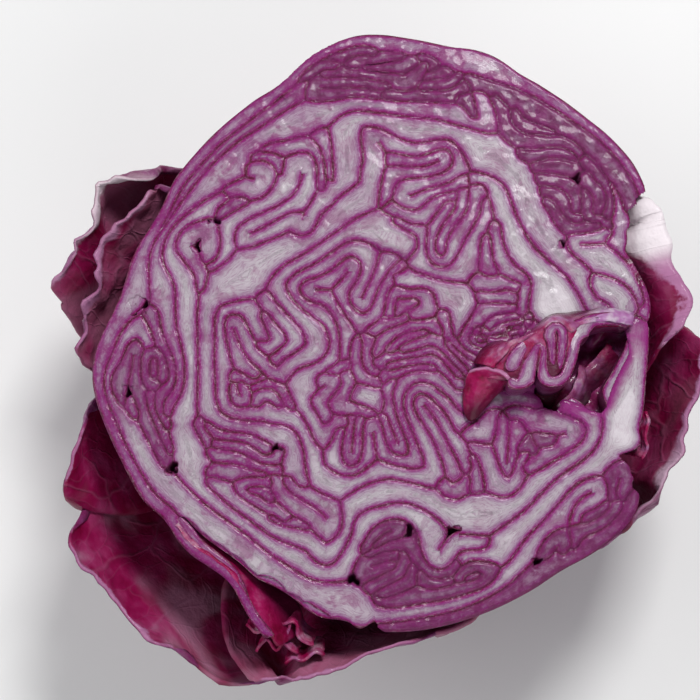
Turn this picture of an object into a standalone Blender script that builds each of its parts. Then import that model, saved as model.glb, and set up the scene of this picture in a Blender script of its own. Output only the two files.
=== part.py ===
"""The stalk half of a red cabbage, cut across and resting on its stalk with the cut face up.

The head is round in plan. Every leaf is a band that stands on the cut plane along a route read by
hand, goes down through the head and narrows with it towards the stalk. Lengths in the tables are in
millimetres: x to the right and y to the back, measured from the head's axis on the cut plane, and a
third number is the most that half of the leaf's thickness can be there. The scene is in metres.
"""
import math

import bpy
import numpy as np

MM = 0.001

# the half head
HEAD_DEPTH = 72.0          # cut face above the stalk's flat cut
ARC_RADIUS = 72.0          # radius of the arc that the head follows from the cut face down
LEVEL_ANGLES = (0.0, 25.0, 46.0, 62.0, 70.0)   # degrees along that arc where every leaf bends

# the leaves
HALF_THICKNESS = 1.5       # where a route gives none
LEAF_GAP = 0.7             # air between two leaves
STEP = 0.5                 # spacing of the samples along a route
CHORD_ERROR = 0.34         # how far a straight piece may stray from the smooth leaf
TIP_TAPER = 1.2            # length over which a leaf rounds off at its ends
TIP_SHARE = 0.45           # part of its thickness that is left at the very end
# nearest that a leaf comes to the axis, and how far down it can go before it meets the stalk
LEAF_REACH = ((52.0, 67.6), (39.0, 63.5), (33.0, 51.7), (10.5, 42.0), (0.0, 18.0))

# the stalk, as radius and height
STALK_PROFILE = (
    (16.0, 0.0), (16.8, 2.5), (17.4, 7.5), (18.6, 12.0), (20.0, 17.0), (20.0, 26.0), (18.6, 28.9),
    (9.0, 28.9), (8.0, 31.0), (7.0, 42.0), (5.0, 50.0), (2.0, 52.5))
STALK_SIDES = 28

# the loose outer leaves
WRAPPER_THICKNESS = 1.4
WRAPPER_CLEARANCE = (1.9, 4.6)      # first and second layer off the head's side
WRAPPER_SPREAD = 1.3                # how much more of that there is underneath, where the head is flat
WRAPPER_FLARE = 1.5                 # how fast the lean at the rim dies away going down

# the torn leaf that stands above the cut
TORN_THICKNESS = 1.3
TORN_ROWS = 2
HOLLOW_DEPTH = -7.0

# the start of the first rim leaf has sprung away from the head
SPRUNG_LENGTH = 31.0
SPRUNG_LEAN = 5.0

LEAVES = {
    "leaf_rim_1": [
        (-24, -72.5, 1.1), (-26.6, -69.4, 1.1), (-29.2, -65.4, 1.1), (-31.4, -61.2, 1.1),
        (-34.2, -57.8, 1.2), (-38, -55, 1.3), (-42, -52.2, 1.4), (-45.2, -48.6), (-46.8, -46, 1.4),
        (-49, -43.2), (-51.8, -40.9), (-54.3, -38), (-56.4, -34.2), (-58.4, -30.4), (-60.6, -26),
        (-62.6, -21.5), (-64.4, -16.8), (-65.4, -12, 1.6), (-65.1, -7.5, 1.8), (-63.8, -3.2, 2),
        (-62, 1, 2), (-60, 5, 2.2), (-58, 9, 2.6), (-56.9, 13, 2.6), (-56.2, 17, 2.3), (-54.8, 21, 1.9),
        (-52.6, 25, 1.6), (-50.3, 29, 1.6), (-48.6, 33, 1.6), (-46.8, 37.2), (-44.2, 40.6, 1.6),
        (-41.6, 43.8, 1.6), (-38.8, 47, 1.6), (-36, 49.8, 1.6), (-33, 52.5, 1.6), (-30, 55, 1.6),
        (-27, 57.3, 1.6), (-24, 59.3), (-21.4, 61.4, 1.3), (-18.8, 63.9, 1.2), (-16.2, 66.5, 1.2),
        (-13.5, 68.8, 1.2), (-10.5, 70.6, 1.2), (-7.5, 72, 1.3), (-4.5, 73, 1.4), (-1, 73.4, 1.6),
        (3, 73, 1.9), (7, 72.4, 1.9), (11, 71.7, 1.9), (15, 70.7, 2), (18.5, 69.6, 2.4),
        (21.5, 68.6, 3), (24.8, 67.9, 3.2), (28, 66.9, 3.2), (31.5, 65.4, 2.8), (34.5, 63.9, 2.1),
        (37.5, 62.4, 1.6), (40.5, 60.6, 1.6), (43.5, 58.6, 1.6), (46.5, 56.5, 1.6), (49.5, 54.3),
        (52.5, 52, 1.4), (55.3, 49.8, 1.3), (58, 47.3, 1.3), (60.4, 44.6, 1.3), (62.6, 41.8, 1.3),
        (64.4, 38.6, 1.2), (65.8, 35, 1.2)],
    "leaf_rim_2": [
        (-53.4, -2.6, 1), (-54.6, -0.2, 1.2), (-56.6, 1.4, 1.3), (-58.8, -0.2, 1.3), (-60.1, -3, 1.3),
        (-61.2, -6, 1.2), (-62.8, -9, 1.1), (-63.5, -12, 1), (-63.1, -15, 1), (-61.8, -18, 1.2),
        (-60.1, -20.8), (-58.1, -23.9, 2.1), (-56.2, -27.2, 2.4), (-54, -30.8, 2.4),
        (-51.6, -34.4, 2.4), (-48.6, -37.8, 2.6), (-44.4, -41.2, 2.7), (-39.8, -44.6, 2.6),
        (-35.4, -47.8, 2.5), (-31, -50.8, 2.3), (-27, -53.8, 2.2), (-23, -56.6, 2.1), (-19, -59.2, 2.1),
        (-15, -61.4, 2.6), (-11, -63.4, 3.2), (-6.5, -65.2, 3.6), (-2, -66.8, 2.8), (3, -67.6, 1.8),
        (8, -67.4, 1.3), (13, -66.6, 1.2), (18, -65.6, 1.2), (22.5, -64.2, 1.2), (27, -62.2, 1.2),
        (31, -59.6, 1.3), (34, -56.6, 1.3), (36, -53.6), (38, -50.2, 1.7), (41, -47.2, 1.6),
        (44.4, -44, 1.7), (46.6, -41, 1.4), (48.4, -38.6, 1.2), (50.4, -36.9, 1.2), (53, -36.4, 1.2),
        (55, -37.8, 1.2), (54.4, -40, 1.2), (52, -41.3, 1.3), (49.4, -42.4, 1.3), (48.4, -44.4, 1.1)],
    "leaf_rim_3": [
        (2, -70.4, 1), (7, -70.2, 1.2), (12, -69.6, 1.3), (17, -68.6, 1.3), (22, -67.2, 1.3),
        (27, -65.2), (32, -62.6, 1.8), (36.4, -59.8, 2.2), (40.4, -57.2, 2.2), (45, -54.8, 1.8),
        (49.6, -52.4, 1.8), (54, -49.8, 1.6), (58, -46.8, 1.3), (61, -43.4, 1.2), (62.6, -39.8, 1)],
    "leaf_rim_4": [
        (65.2, 2, 1.2), (65, -2, 1.8), (64, -6, 2.4), (62.8, -10, 3.2), (61.6, -14, 4),
        (60.6, -18, 4.4), (59.8, -22, 4.2), (58, -26, 3.4), (55, -30, 2.6), (51.5, -32.8, 2.1),
        (48, -34.8, 1.9), (45, -37.2, 1.8), (42.4, -40, 1.8), (39.5, -43.2, 2), (36, -46.3, 2.4),
        (32.6, -49.2, 2.6), (29.8, -52.2, 2.4), (26.4, -53.4, 1.4), (23.4, -53.6, 1), (21, -54.6, 0.9)],
    "leaf_rim_5": [
        (24.2, 63.2, 1.3), (27, 62, 1.6), (30, 60.8, 1.8), (33, 59.4, 2), (36, 57.8, 2.2),
        (39, 56.2, 2.4), (42, 54.4, 2.5), (45, 52.5, 2.4), (48, 50.6, 2.1), (51, 48.7, 2),
        (53.8, 46.4, 2), (56.2, 43.8, 2.2), (58.4, 41, 2.4), (60.3, 38, 2.6), (61.8, 35, 2.8),
        (62.8, 31.5, 2.8)],
    "leaf_rim_6": [
        (-50.6, 26.2, 1), (-48.7, 29.8, 1.1), (-46.6, 33, 1.3), (-44.4, 36, 1.4), (-42.2, 38.9, 1.4),
        (-40, 41.6, 1.4), (-37.6, 44.2, 1.4), (-35, 46.6, 1.4), (-32.4, 48.7, 1.4), (-29.8, 50.7, 1.4),
        (-27.2, 52.7, 1.4), (-24.8, 54.6, 1.2), (-22.6, 56.6, 1.2), (-20.4, 58.4, 1.2),
        (-18.2, 60.2, 1.2), (-16.6, 62, 1)],
    "leaf_ring_1": [
        (-49.2, -19.5, 1), (-48.2, -17.5, 1.1), (-46.7, -14.5, 1.1), (-45.9, -11.5, 1.2),
        (-45.9, -8.5, 1.3), (-46.7, -5.3, 1.4), (-47.8, -2.3), (-48.9, 0.8), (-49.4, 4),
        (-49.8, 7, 1.6), (-50.3, 10, 1.8), (-51.2, 13, 2), (-52.2, 16.2, 1.8), (-52.2, 19.5, 1.6),
        (-51, 22.8), (-49.2, 26), (-47, 28.8, 1.8), (-44.6, 31.7, 2.2), (-42, 34.6, 2.6),
        (-39, 37.6, 3), (-36, 40.6, 3.2), (-33, 43.6, 3), (-30, 46.4, 2.8), (-27, 48.5, 2.4),
        (-24, 50.2, 2.4), (-20, 52, 2.6), (-16, 53.4, 2.9), (-12, 54.6, 2.4), (-8, 56.2, 1.8),
        (-4, 57.1, 1.7), (0, 56.7, 1.6), (5, 56), (10, 55.6), (15, 55.2, 1.9), (19, 54.3, 2.2),
        (22.5, 52.9, 2), (25.5, 51.4, 1.6), (28.2, 51.3, 1.8), (28.3, 53.6, 1.9), (27.5, 56.2, 1.9),
        (27, 58.3, 1.6)],
    "leaf_ring_2": [
        (-36.2, 33, 1.2), (-38.5, 31.8), (-41, 30.6), (-43.5, 29), (-46, 27.3), (-48, 24.8),
        (-49.2, 22), (-49.3, 19.5), (-48.3, 17.2, 1.8), (-46.5, 14.7, 1.8), (-45, 12, 1.9),
        (-44.4, 8, 2), (-44.6, 4, 2), (-44.4, 0, 2), (-44, -5), (-43.6, -10), (-44, -15),
        (-45.2, -19.5, 2.2), (-45.3, -23.5, 2.6), (-44.3, -27.2, 3.4), (-43, -31, 3.4),
        (-42, -34.6, 2.6), (-40.2, -38, 1.9), (-37.6, -40.8, 1.7), (-34.6, -43.2), (-31.5, -45.4),
        (-28.5, -47.7), (-25.5, -50.2), (-22.5, -52, 2), (-19.5, -53.6, 2), (-16.8, -55.5, 2),
        (-14, -57.5, 2), (-10.8, -57.9, 1.7), (-8, -56.8), (-6.2, -54.6), (-4.8, -52), (-3.6, -49.6),
        (-2.6, -46.9), (-0.6, -45), (2.5, -43.8), (5.5, -43), (8.5, -43), (11.5, -43.9), (14.2, -45.4),
        (15.9, -47.3), (15, -49.3), (13.6, -51), (13.4, -53.4), (14.8, -55.4), (16.9, -55.2),
        (18.1, -53), (19.3, -50.9), (21.5, -50.2), (24, -50.6), (26.3, -50.9, 1)],
    "leaf_ring_3": [
        (-38.3, -36.2), (-36, -37.8), (-34, -39.4), (-32, -41.2), (-29.5, -43), (-27, -44.9),
        (-24.5, -46.3), (-22, -47.6, 2), (-19, -48.7, 2), (-16, -49.2, 2), (-13.8, -50.6),
        (-12.6, -52.7), (-10.8, -54.2), (-9.3, -52.7), (-8, -51), (-6.5, -48), (-6.2, -45),
        (-5, -41.8, 2), (-2, -39.7, 2.5), (2, -38.9, 2.5), (6, -38.5, 2.3), (10, -39.2, 2.3),
        (14, -41.3, 2.5), (17, -43.3, 2.8), (20, -44.8, 3.3), (24, -44.6, 3.7), (28, -43.8, 3.4),
        (31.8, -42.6, 2.6), (35, -40.4, 2.2), (38, -37.4, 1.9), (41.4, -34.8, 1.7), (45, -32.4, 1.6),
        (48.3, -30.2, 1.6), (51.5, -27.4, 1.6), (53, -24), (52.3, -21.2), (49.5, -19.3),
        (46, -17.6, 1.2)],
    "leaf_ring_4": [
        (-26.7, -0.5), (-28, 2.5), (-29.5, 5), (-32, 6), (-35, 5.3), (-36.3, 3.3), (-36.2, 0),
        (-35.9, -3), (-35.8, -8), (-35.5, -12), (-35.2, -15.5), (-34.5, -18.3), (-32.5, -19.5),
        (-29.5, -20), (-26, -19.6), (-22.5, -20.2, 1.8), (-19.5, -20.8, 1.8), (-17.6, -22, 1.7),
        (-16.4, -24), (-15.6, -26.5), (-14.8, -29.5), (-14.5, -32.5), (-13.3, -35, 2),
        (-10.5, -36.8, 2.6), (-7, -37, 2.6), (-3.5, -35.8, 2), (0, -34, 1.8), (4, -33.4), (8, -34.4),
        (11, -35.1), (13.8, -35.4), (15.2, -33.8), (14.5, -31), (13, -28, 1.8), (11.5, -25, 1.8),
        (10, -22.3), (8.9, -19.5), (8.7, -17), (9.4, -15), (11.2, -14), (13.3, -14.4), (15.3, -15.8),
        (17.5, -17.7), (19.5, -20), (20.7, -22.5)],
    "leaf_ring_5": [
        (-17, -36, 2), (-18.2, -33, 2.5), (-18.7, -29.5, 2.6), (-19.5, -26.5, 2.3), (-22, -24.8, 2),
        (-24.5, -24.3), (-27, -23.6), (-30, -23.1), (-33, -22.6), (-36, -21.8), (-38, -20.2),
        (-39.2, -17.5), (-39.6, -14), (-39.6, -10), (-39.7, -5), (-39.7, 0, 1.8), (-39.5, 5, 2),
        (-38, 9, 3), (-34, 12.3, 5), (-30, 15, 4.8), (-26, 17.5, 4), (-22, 19.8, 3), (-19, 21, 2.6),
        (-16, 22.2, 2), (-13.5, 23.5, 1.7), (-11.5, 25.5, 2), (-9, 28, 3), (-5.5, 31.3, 3.5),
        (-2, 33.2, 3), (0, 36.5, 2.2), (0.1, 40, 2.2), (0.7, 43.5, 2), (0, 46.5, 2), (-0.7, 49, 1.6),
        (1.2, 49.2, 1.6), (3.2, 48, 1.8), (5, 46.9, 1.8), (7.5, 45.8, 1.8), (10, 45.2, 1.8),
        (12.5, 45.5, 1.8), (15, 46.3), (17.5, 46.8), (19.8, 46), (21, 44.2), (21.3, 42), (20.3, 39.8),
        (18, 38.2), (15, 37.1, 1.8), (12, 36.5, 1.8), (9.3, 35.8, 1.8), (7.3, 34.8), (7, 33),
        (8.6, 31.9), (10.5, 32.3), (12.5, 33.6), (15, 34.8), (17.5, 35.4), (20, 36), (21.6, 36.9)],
    "leaf_ring_6": [
        (-38, 16.6), (-36.4, 17.9), (-35.3, 20.3), (-34.9, 23), (-34.5, 25.6), (-33.2, 27.5),
        (-31, 29.1), (-28.5, 30.4), (-26, 31.6), (-23.8, 33.2, 2), (-22, 35.6, 2.4), (-20.6, 38.3, 2.4),
        (-19.2, 41, 2), (-17.4, 42.8), (-15.4, 42.2), (-14.7, 40), (-14.8, 37.5), (-15.4, 35),
        (-16.6, 33), (-18.4, 31.5), (-20.8, 30.3), (-23.5, 29), (-26.5, 27.5), (-29.3, 26),
        (-31.4, 24.4), (-31.6, 22.7), (-29.5, 22.6), (-27, 23.7), (-24, 25.2), (-21.5, 26.8),
        (-19.7, 28.2), (-18, 27.3), (-17.3, 25.3), (-16, 25), (-15, 27), (-13.5, 30), (-11, 33, 2.4),
        (-8.5, 35.8, 2.6), (-6.8, 38.5, 3), (-6.2, 42, 3.3), (-6.2, 46, 3.4), (-6.2, 49.5, 3.2),
        (-4.8, 52.6, 1.8), (-1.5, 53.2), (2, 52.5, 1.8), (5.5, 51.5, 2.2), (9, 50.4, 2.8),
        (12.5, 50, 3), (16, 50.2, 2.6), (19.5, 49.6, 2.2), (22.5, 48.2, 3), (25.5, 46.3, 4),
        (28.7, 44, 4.3), (32, 41.5, 4), (35, 38.5, 3.6), (37, 35, 3.5), (38.6, 31, 3.4),
        (40.2, 27.5, 3.4), (42.2, 23.7, 3.2), (44.5, 20.4, 3), (47, 17.5, 2.6), (49.2, 14.6, 2.6),
        (50.3, 11.8, 2.2), (51.6, 9.2, 1.6), (53.3, 7.2, 1.2), (56, 6.3, 1)],
    "leaf_ring_7": [
        (9.8, 21.5), (8, 23.4, 2.4), (4, 25.2, 3), (0, 26.2, 2.8), (-4, 25.7, 2), (-7, 24), (-10, 21.6),
        (-13, 19.4), (-16, 17.4), (-19, 15.7), (-21.5, 14), (-22.7, 12), (-22.2, 10), (-20.5, 7.8),
        (-18.5, 5.7), (-16.5, 3.5), (-14.8, 1.2), (-13.2, -1, 2.3), (-12.4, -3.5, 2.3), (-14, -5.3, 2),
        (-17, -6.7, 2), (-20, -8.5, 2), (-22.2, -10.8), (-24.5, -9.3), (-27, -7), (-29, -4.7),
        (-30.7, -1.5), (-32.3, 1.2), (-33.7, 3), (-34.4, 1.5), (-33.9, -1.5), (-32.3, -5.3),
        (-30.5, -8), (-28, -10.5)],
    "leaf_heart_1": [
        (3.5, 16.2), (2, 14.3), (0.8, 12.2), (-0.3, 9.7), (-1.4, 7.2), (-2.7, 6), (-4, 7.3),
        (-3.6, 9.5), (-2.2, 12), (-1.1, 14.5), (-1, 17.3), (-2.2, 19.1), (-4.2, 20.1), (-6.3, 19.7),
        (-8.7, 18.2), (-11, 16.5), (-13.5, 15.1), (-16, 14), (-18, 12.7), (-18.8, 11), (-18.2, 9),
        (-16.7, 7), (-14.5, 5.8), (-12, 4.8), (-10.3, 3.2), (-9.3, 1), (-8.9, -1.5), (-9.1, -4),
        (-9.9, -6.3), (-11.7, -8.1), (-14, -9.4), (-16.3, -11.7, 3.2), (-17.2, -14, 2.5),
        (-17.2, -16.8), (-15.8, -19.2), (-14.5, -21.2), (-13.5, -23.3), (-12.2, -25.2), (-10.6, -25.2),
        (-9.8, -22.9), (-8, -21.8), (-6.3, -21.9)],
    "leaf_heart_2": [
        (-6.7, -5.6, 0.9), (-6.8, -3, 1.1), (-6.9, 0), (-7.5, 2.5), (-8.8, 5), (-10.2, 7.3), (-12, 8.5),
        (-14.5, 9), (-16.2, 10), (-15.8, 11.3), (-13, 12), (-10, 13), (-8, 14.3), (-6.7, 15.8),
        (-5.3, 17.2), (-4.3, 16.3), (-4.5, 14.5), (-5.5, 12.7), (-7, 10.8), (-7.3, 9.2), (-6.3, 6.8),
        (-4.7, 4.7), (-3, 3.2), (-1.3, 2.9), (0.3, 4.2), (1.7, 6.5), (2.3, 8.7), (3.2, 11), (4.5, 13),
        (5.3, 14.5)],
    "leaf_heart_3": [
        (4.7, 5), (4.7, 7.5), (5.2, 9.6), (6.5, 9.8), (8.5, 9.3), (11, 9.6), (13, 9.2), (13.4, 7),
        (12.8, 5.2), (10.8, 4.7)],
    "leaf_heart_4": [
        (5.5, 13.8), (7, 12.6), (10, 11.8), (13, 12), (16, 11, 1.8), (18.5, 9.2, 3), (20.8, 7.2, 3.4),
        (21.4, 4.4, 2.4), (21, 1.8, 1.4), (20.6, -0.4, 0.9)],
    "leaf_heart_5": [
        (21.5, -17.5), (19, -14.4), (16.5, -12.2), (14, -10.8), (11, -10.7), (8.5, -11.8), (7, -13.8),
        (6.3, -16.5), (6.5, -19), (7.5, -22), (8.7, -25), (9.8, -28), (10.2, -30.8), (8, -31.3),
        (5, -30.6), (3, -28.7), (2, -26), (1.3, -23.5), (0.2, -22.2), (-1, -23.3), (-1, -26),
        (-1.1, -29), (-2, -31.7), (-4.5, -33.8), (-6.8, -33.2), (-8.3, -31), (-8.4, -28), (-8, -25.5),
        (-7.5, -24.5)],
    "leaf_heart_6": [
        (19.5, -34.3), (18.8, -32), (17.5, -29), (16.3, -26), (14.7, -23), (12.7, -20), (11, -17.5),
        (11.6, -16), (13.5, -17.2), (15.8, -20.2), (17.7, -23.5), (19.5, -26.8), (21.3, -29.5),
        (22.5, -32)],
    "leaf_heart_7": [
        (3, -21, 0.9), (3.8, -24.4), (4.9, -27.4), (6.3, -28.7), (7.5, -28), (7, -26), (5.8, -23),
        (4.8, -20.2), (4.2, -17.6), (3.8, -14.8, 0.9), (4.8, -12.6, 0.9)],
    "leaf_heart_8": [
        (-3.3, -21.8), (-3.4, -25), (-3.7, -28.5), (-4.5, -31), (-5.7, -30.6), (-6, -28), (-5.7, -25.5),
        (-5.2, -23), (-5, -21.3)],
    "leaf_heart_9": [
        (1.4, -7.8, 0.9), (4.2, -6.3, 1), (7.6, -5.6, 1), (11, -5.2, 1), (14.2, -4.4, 0.9),
        (16.2, -5.5, 0.9), (18.2, -7.7, 0.9), (20.4, -10, 0.9)],
    "leaf_heart_10": [
        (4.6, -8.3, 0.9), (8.6, -7.5, 1), (12.2, -6.8, 1), (14.8, -6.8, 1.1), (16.8, -8.4, 1.1),
        (18.6, -10.7, 1.1), (20.3, -13.2, 1)],
    "leaf_heart_11": [
        (1, -4.8, 0.9), (2.8, -2.4, 1.1), (5.2, -0.4, 1.1), (8, 1, 1.1), (11, 1.5, 1), (14, 1.5, 1),
        (16, 0.4, 0.9)],
    "leaf_heart_12": [
        (-25.4, 7.7, 1), (-23.8, 5.2, 1.2), (-21.6, 2.7, 1.2), (-19.6, 0.4, 1.3), (-18, -1.8, 1.3),
        (-19.2, -3.8, 1.3), (-21.4, -5.2, 1.3), (-23.1, -6.9, 1.1)],
    "leaf_top_1": [
        (1.5, 59.2, 1), (-2, 59.9, 1.2), (-6, 59.7, 1.2), (-10, 59.2, 1.3), (-13.5, 59.7, 1.3),
        (-15, 61.2, 1.2), (-13, 62.4, 1.2), (-10, 62.4, 1.2), (-6.5, 62.4, 1.1), (-3, 62.3, 1.1),
        (0.5, 61.7, 1.1), (3.6, 61.7, 1)],
    "leaf_top_2": [
        (-11, 64.4, 0.9), (-8.5, 65, 1), (-6, 64.9, 1), (-3, 64.8, 1), (0, 64.6, 1), (2.5, 63.9, 1),
        (4.7, 63, 1.2), (6.8, 61.9, 1.3), (8.8, 61.6, 1.3), (10.4, 62.9, 1.2), (11.8, 64.6, 1.1),
        (13, 66.4, 1)],
    "leaf_top_3": [
        (3.8, 59.2, 1), (7.5, 59.1, 1.1), (11.5, 59.2, 1.1), (15.3, 58.8, 1.2), (18.8, 58.9, 1.3),
        (21.4, 60.4, 1.4), (23.2, 62.3, 1)],
    "leaf_top_4": [
        (30.6, 58.6, 1.1), (31.8, 56.4, 1.2), (32.6, 54, 1.3), (33.4, 51.5, 1.4), (35, 49),
        (37.5, 47.7, 1.4), (40.3, 47.4, 1.4), (43.2, 47.6, 1.3), (46, 47.5, 1.3), (48.7, 46.5, 1.3),
        (50.3, 44.7, 1.1)],
    "leaf_top_5": [
        (3.2, 32.7, 1), (3.6, 35), (4.2, 37.3), (5.5, 39.4), (8, 39.8), (11, 39.7), (14, 39.9),
        (16.6, 40.8), (18.3, 42.3), (18.2, 44.1), (16.2, 44), (14, 43), (11.5, 42.3), (8.5, 42.5),
        (5.4, 43)],
    "leaf_top_6": [
        (4.8, 30.8, 1.2), (7.5, 29.2), (10.3, 28.1), (12.5, 28.3), (14, 30), (15.6, 31.8), (17.5, 33.2),
        (19.6, 33.8)],
    "leaf_top_7": [
        (19, 31.2), (17.8, 29.2), (16.4, 27), (15, 24.5), (14.2, 22), (14.4, 19.6), (15.5, 17.8),
        (17.2, 17.2), (18.6, 18.6), (19.3, 21), (20.5, 23.5), (22.2, 26), (24, 28.3), (25.4, 30.5),
        (25.6, 33.5), (26, 35.7)],
    "leaf_top_8": [
        (6, 26.8), (9.5, 25.2), (12, 24.6), (12.2, 22), (12.2, 19.5), (12.8, 17), (14.5, 15.2),
        (17, 14.4, 1.6), (20, 14.7, 2.1), (22.6, 16.6, 2.5), (24, 19.2, 2), (24.8, 21.8, 1.7),
        (25.8, 24.3), (26.8, 26.8), (27.5, 29), (27.3, 31.5, 1.2)],
    "leaf_top_9": [
        (25.6, 37.4, 1.2), (28.4, 37.3, 1.4), (30.6, 35.6, 1.8), (31.3, 32.5, 2), (32.2, 29.3, 2),
        (33.3, 25.8, 2.2), (34.8, 22, 2.4), (36.8, 18.8, 2.6), (39.5, 15.5, 3.2), (42, 11.5, 4.8),
        (44, 7.5, 6.2), (45, 4, 5)],
    "leaf_top_10": [
        (30.2, 25.5), (30, 22.5), (30.5, 20), (31, 18), (32.5, 16), (34.5, 14.2), (37, 13.5),
        (38.3, 12), (37.2, 9.5), (36.3, 7), (36, 5)],
    "leaf_top_11": [
        (-26.3, 45.6, 0.9), (-24, 45.9, 1), (-21.4, 45.3, 1), (-18.6, 45.8, 1), (-15.8, 46.2, 1.1),
        (-13.9, 44.9, 1), (-12.9, 42.6, 0.9), (-12.5, 40, 0.9), (-12.5, 37.6, 0.9), (-11.8, 35.6, 0.8)],
    "leaf_left_1": [
        (-59.6, -16.4, 1), (-61, -13.5, 1.3), (-60.6, -11, 1.6), (-59.2, -8.6, 1.3), (-58.4, -6, 1),
        (-57.6, -3.8, 1), (-56.5, -4.2, 0.8), (-56.4, -7, 0.8), (-56.4, -10, 0.9), (-56.1, -13, 1.1),
        (-55.3, -16, 1.1), (-54.5, -18.8, 1.1), (-53.5, -21.6, 1.1), (-52.3, -24.5, 1.2),
        (-50.9, -27.6, 1.2), (-49.2, -30.8, 1.3)],
    "leaf_left_2": [
        (-52.6, 4, 1), (-52.1, 1.2, 1.1), (-51.2, -1.4, 1.1), (-50, -3.9, 1.1), (-48.7, -6.4, 1),
        (-47.8, -9.2, 0.9), (-47.8, -12, 0.9), (-49, -14.2, 1), (-50.7, -15.9, 1), (-51, -18, 1),
        (-50, -20.6, 1), (-48.9, -22.6, 0.9)],
    "leaf_left_3": [
        (-41, 11, 0.9), (-41, 13.4, 1), (-41.9, 15.8, 1.1), (-43.6, 18, 1.1), (-45.2, 20, 1.1),
        (-46.3, 22, 1), (-45.3, 24.1, 1), (-42.9, 25, 1.3), (-40.4, 24.8, 1.8), (-39, 22.6, 2),
        (-38.9, 20, 2), (-38.9, 18.4, 1.6)],
    "leaf_right_1": [
        (57.6, 24.4, 1.3), (54.8, 23.6, 1.3), (51.8, 22.9, 1.2), (49, 22.4, 1.2), (48.4, 20.5, 1.3),
        (51, 19.5, 1.9), (54.5, 18.4, 2.6), (58, 17.4, 3.2), (60.8, 15.8, 3), (62.8, 13.4, 2.3),
        (64.2, 10.6, 1.6), (65.2, 7.6, 1.1)],
    "leaf_right_2": [
        (28, -5.8, 0.9), (25.6, -4.9, 1), (23.2, -3.7, 1.1), (21.9, -1.7, 1.1), (23, 0.5, 1.2),
        (24.6, 2.6, 1.4), (26.6, 4.3, 1.4), (29.2, 5.3, 1.2), (32, 5.6, 1.1), (34.4, 5.8, 1)],
    "leaf_right_3": [
        (34.2, -19.6, 1.2), (38, -20.8, 1.7), (42, -21.9, 1.9), (46, -22.3, 1.6), (48.9, -23.2, 1.3),
        (49.2, -25.1, 1.2), (46.8, -26.6), (44.2, -28.4), (41.4, -29.8, 1.7), (38.8, -31.6, 1.4),
        (36.4, -32.6, 1)],
    "leaf_bottom_1": [
        (20.6, -58.6, 1.1), (22.4, -57, 1.2), (24.8, -56.3, 1.2), (27.6, -56.8, 1.1), (26.6, -59.2, 1),
        (24, -60.4, 1), (20.8, -61.2, 1), (17, -62, 1.1), (13, -62.6, 1.1), (9, -63.2, 1.1),
        (5.4, -64.2, 1.1), (1.6, -64.6, 1)],
    "leaf_bottom_2": [
        (-0.6, -53.6, 0.8), (1.6, -52.2, 0.9), (4.2, -51.1, 1), (7, -50.8, 1.2), (9.2, -52.2, 1.3),
        (10.9, -54.4, 1.2), (12.8, -56.6, 1.1), (15.4, -57.8, 1.1), (18, -57.2, 1.1), (19.8, -55.6, 0.8)],
    "leaf_bottom_3": [
        (-23.1, -35.9, 1.1), (-21.9, -38.6, 1.2), (-19.6, -40.7, 1.4), (-17, -42.3),
        (-14.7, -44.2, 1.6), (-12.7, -46.4, 1.7), (-10.4, -48, 1.7), (-8.5, -46.9, 1.6),
        (-8.3, -44.3, 1.7), (-9.9, -42.1, 1.7), (-12.4, -40.4, 1.6), (-15.2, -39.1, 1.6),
        (-17.8, -37.6, 1.4), (-19.3, -35.6, 1.1)],
    "leaf_bottom_4": [
        (-24.4, -36.2, 0.8), (-26.8, -36.1, 1.1), (-29.6, -36.4, 1.2), (-31.3, -37.9, 1),
        (-29.8, -39.4, 1), (-27.4, -40.7, 1), (-25, -41.9, 1), (-22.8, -43.2, 1.1), (-20.8, -45, 1)],
    "leaf_bottom_5": [
        (-37.6, -26.9, 0.8), (-34.8, -27.3, 1), (-31.6, -27.7, 1), (-29, -29, 1), (-26.4, -30.6, 1),
        (-23.2, -31, 1), (-21.3, -29, 0.9)],
    "leaf_bottom_6": [
        (24.6, -28, 1.2), (26.4, -29.4, 1.7), (27.9, -32, 1.9), (29.2, -34.8, 1.9), (30.6, -37.4, 1.7),
        (32.6, -38.6, 1.1), (33.9, -37, 1.3), (34.5, -34.6), (35.3, -32, 1.3), (36, -30, 1)],
    "leaf_bottom_7": [
        (30.8, -22, 1.1), (30.9, -25, 1.2), (31, -28.5, 1.2), (31.2, -31.8, 1.1), (32.2, -33.6, 1.1),
        (33, -31.2, 1.1), (33.6, -27.8, 1.1), (34.2, -24.8, 1), (34.4, -22.4, 0.9)],
}

# a leaf low in the hollow under the torn one, its edge below the cut plane
HOLLOW_LEAF = [(39.5, -14.4, 1.2), (44.8, -12.6, 1.3), (50, -9.2, 1.4), (54, -5.6, 1.3), (57.3, -2, 1.1)]
HOLLOW_LEAF_TOP = 9.0

# the torn leaf: its top edge as x, y and height over the cut, then its lower edge
TORN_RIM = [
    (22.4, -13.2, 2.6), (23.6, -10.2, 6), (26.2, -9.9, 7.2), (28.7, -10, 8), (30.6, -11.2, 8.6),
    (32, -13, 9), (34, -14, 9), (36.2, -11.8, 9), (37.6, -8.8, 9), (38.5, -6, 9),
    (39.6, -4.8, 9), (40.4, -6.6, 9), (40.2, -10.4, 9), (41.4, -13.1, 9), (44.2, -12.7, 9),
    (46.2, -9.1, 8.5),
    (47.5, -4.4, 8), (48.6, -0.5, 7), (50.9, 1.3, 6), (54.4, 2.3, 4.5), (58.6, 2.6, 3),
    (61.9, 1.9, 2)]
TORN_FOOT = [
    (22, -15.5, 1), (22.9, -22.3, 1), (26.4, -19, 1), (29.3, -15.6, 1.2), (31.4, -13.6, -1),
    (32.7, -13.7, HOLLOW_DEPTH)] + [(x, y, HOLLOW_DEPTH) for x, y, h in TORN_RIM[6:]]
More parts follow.
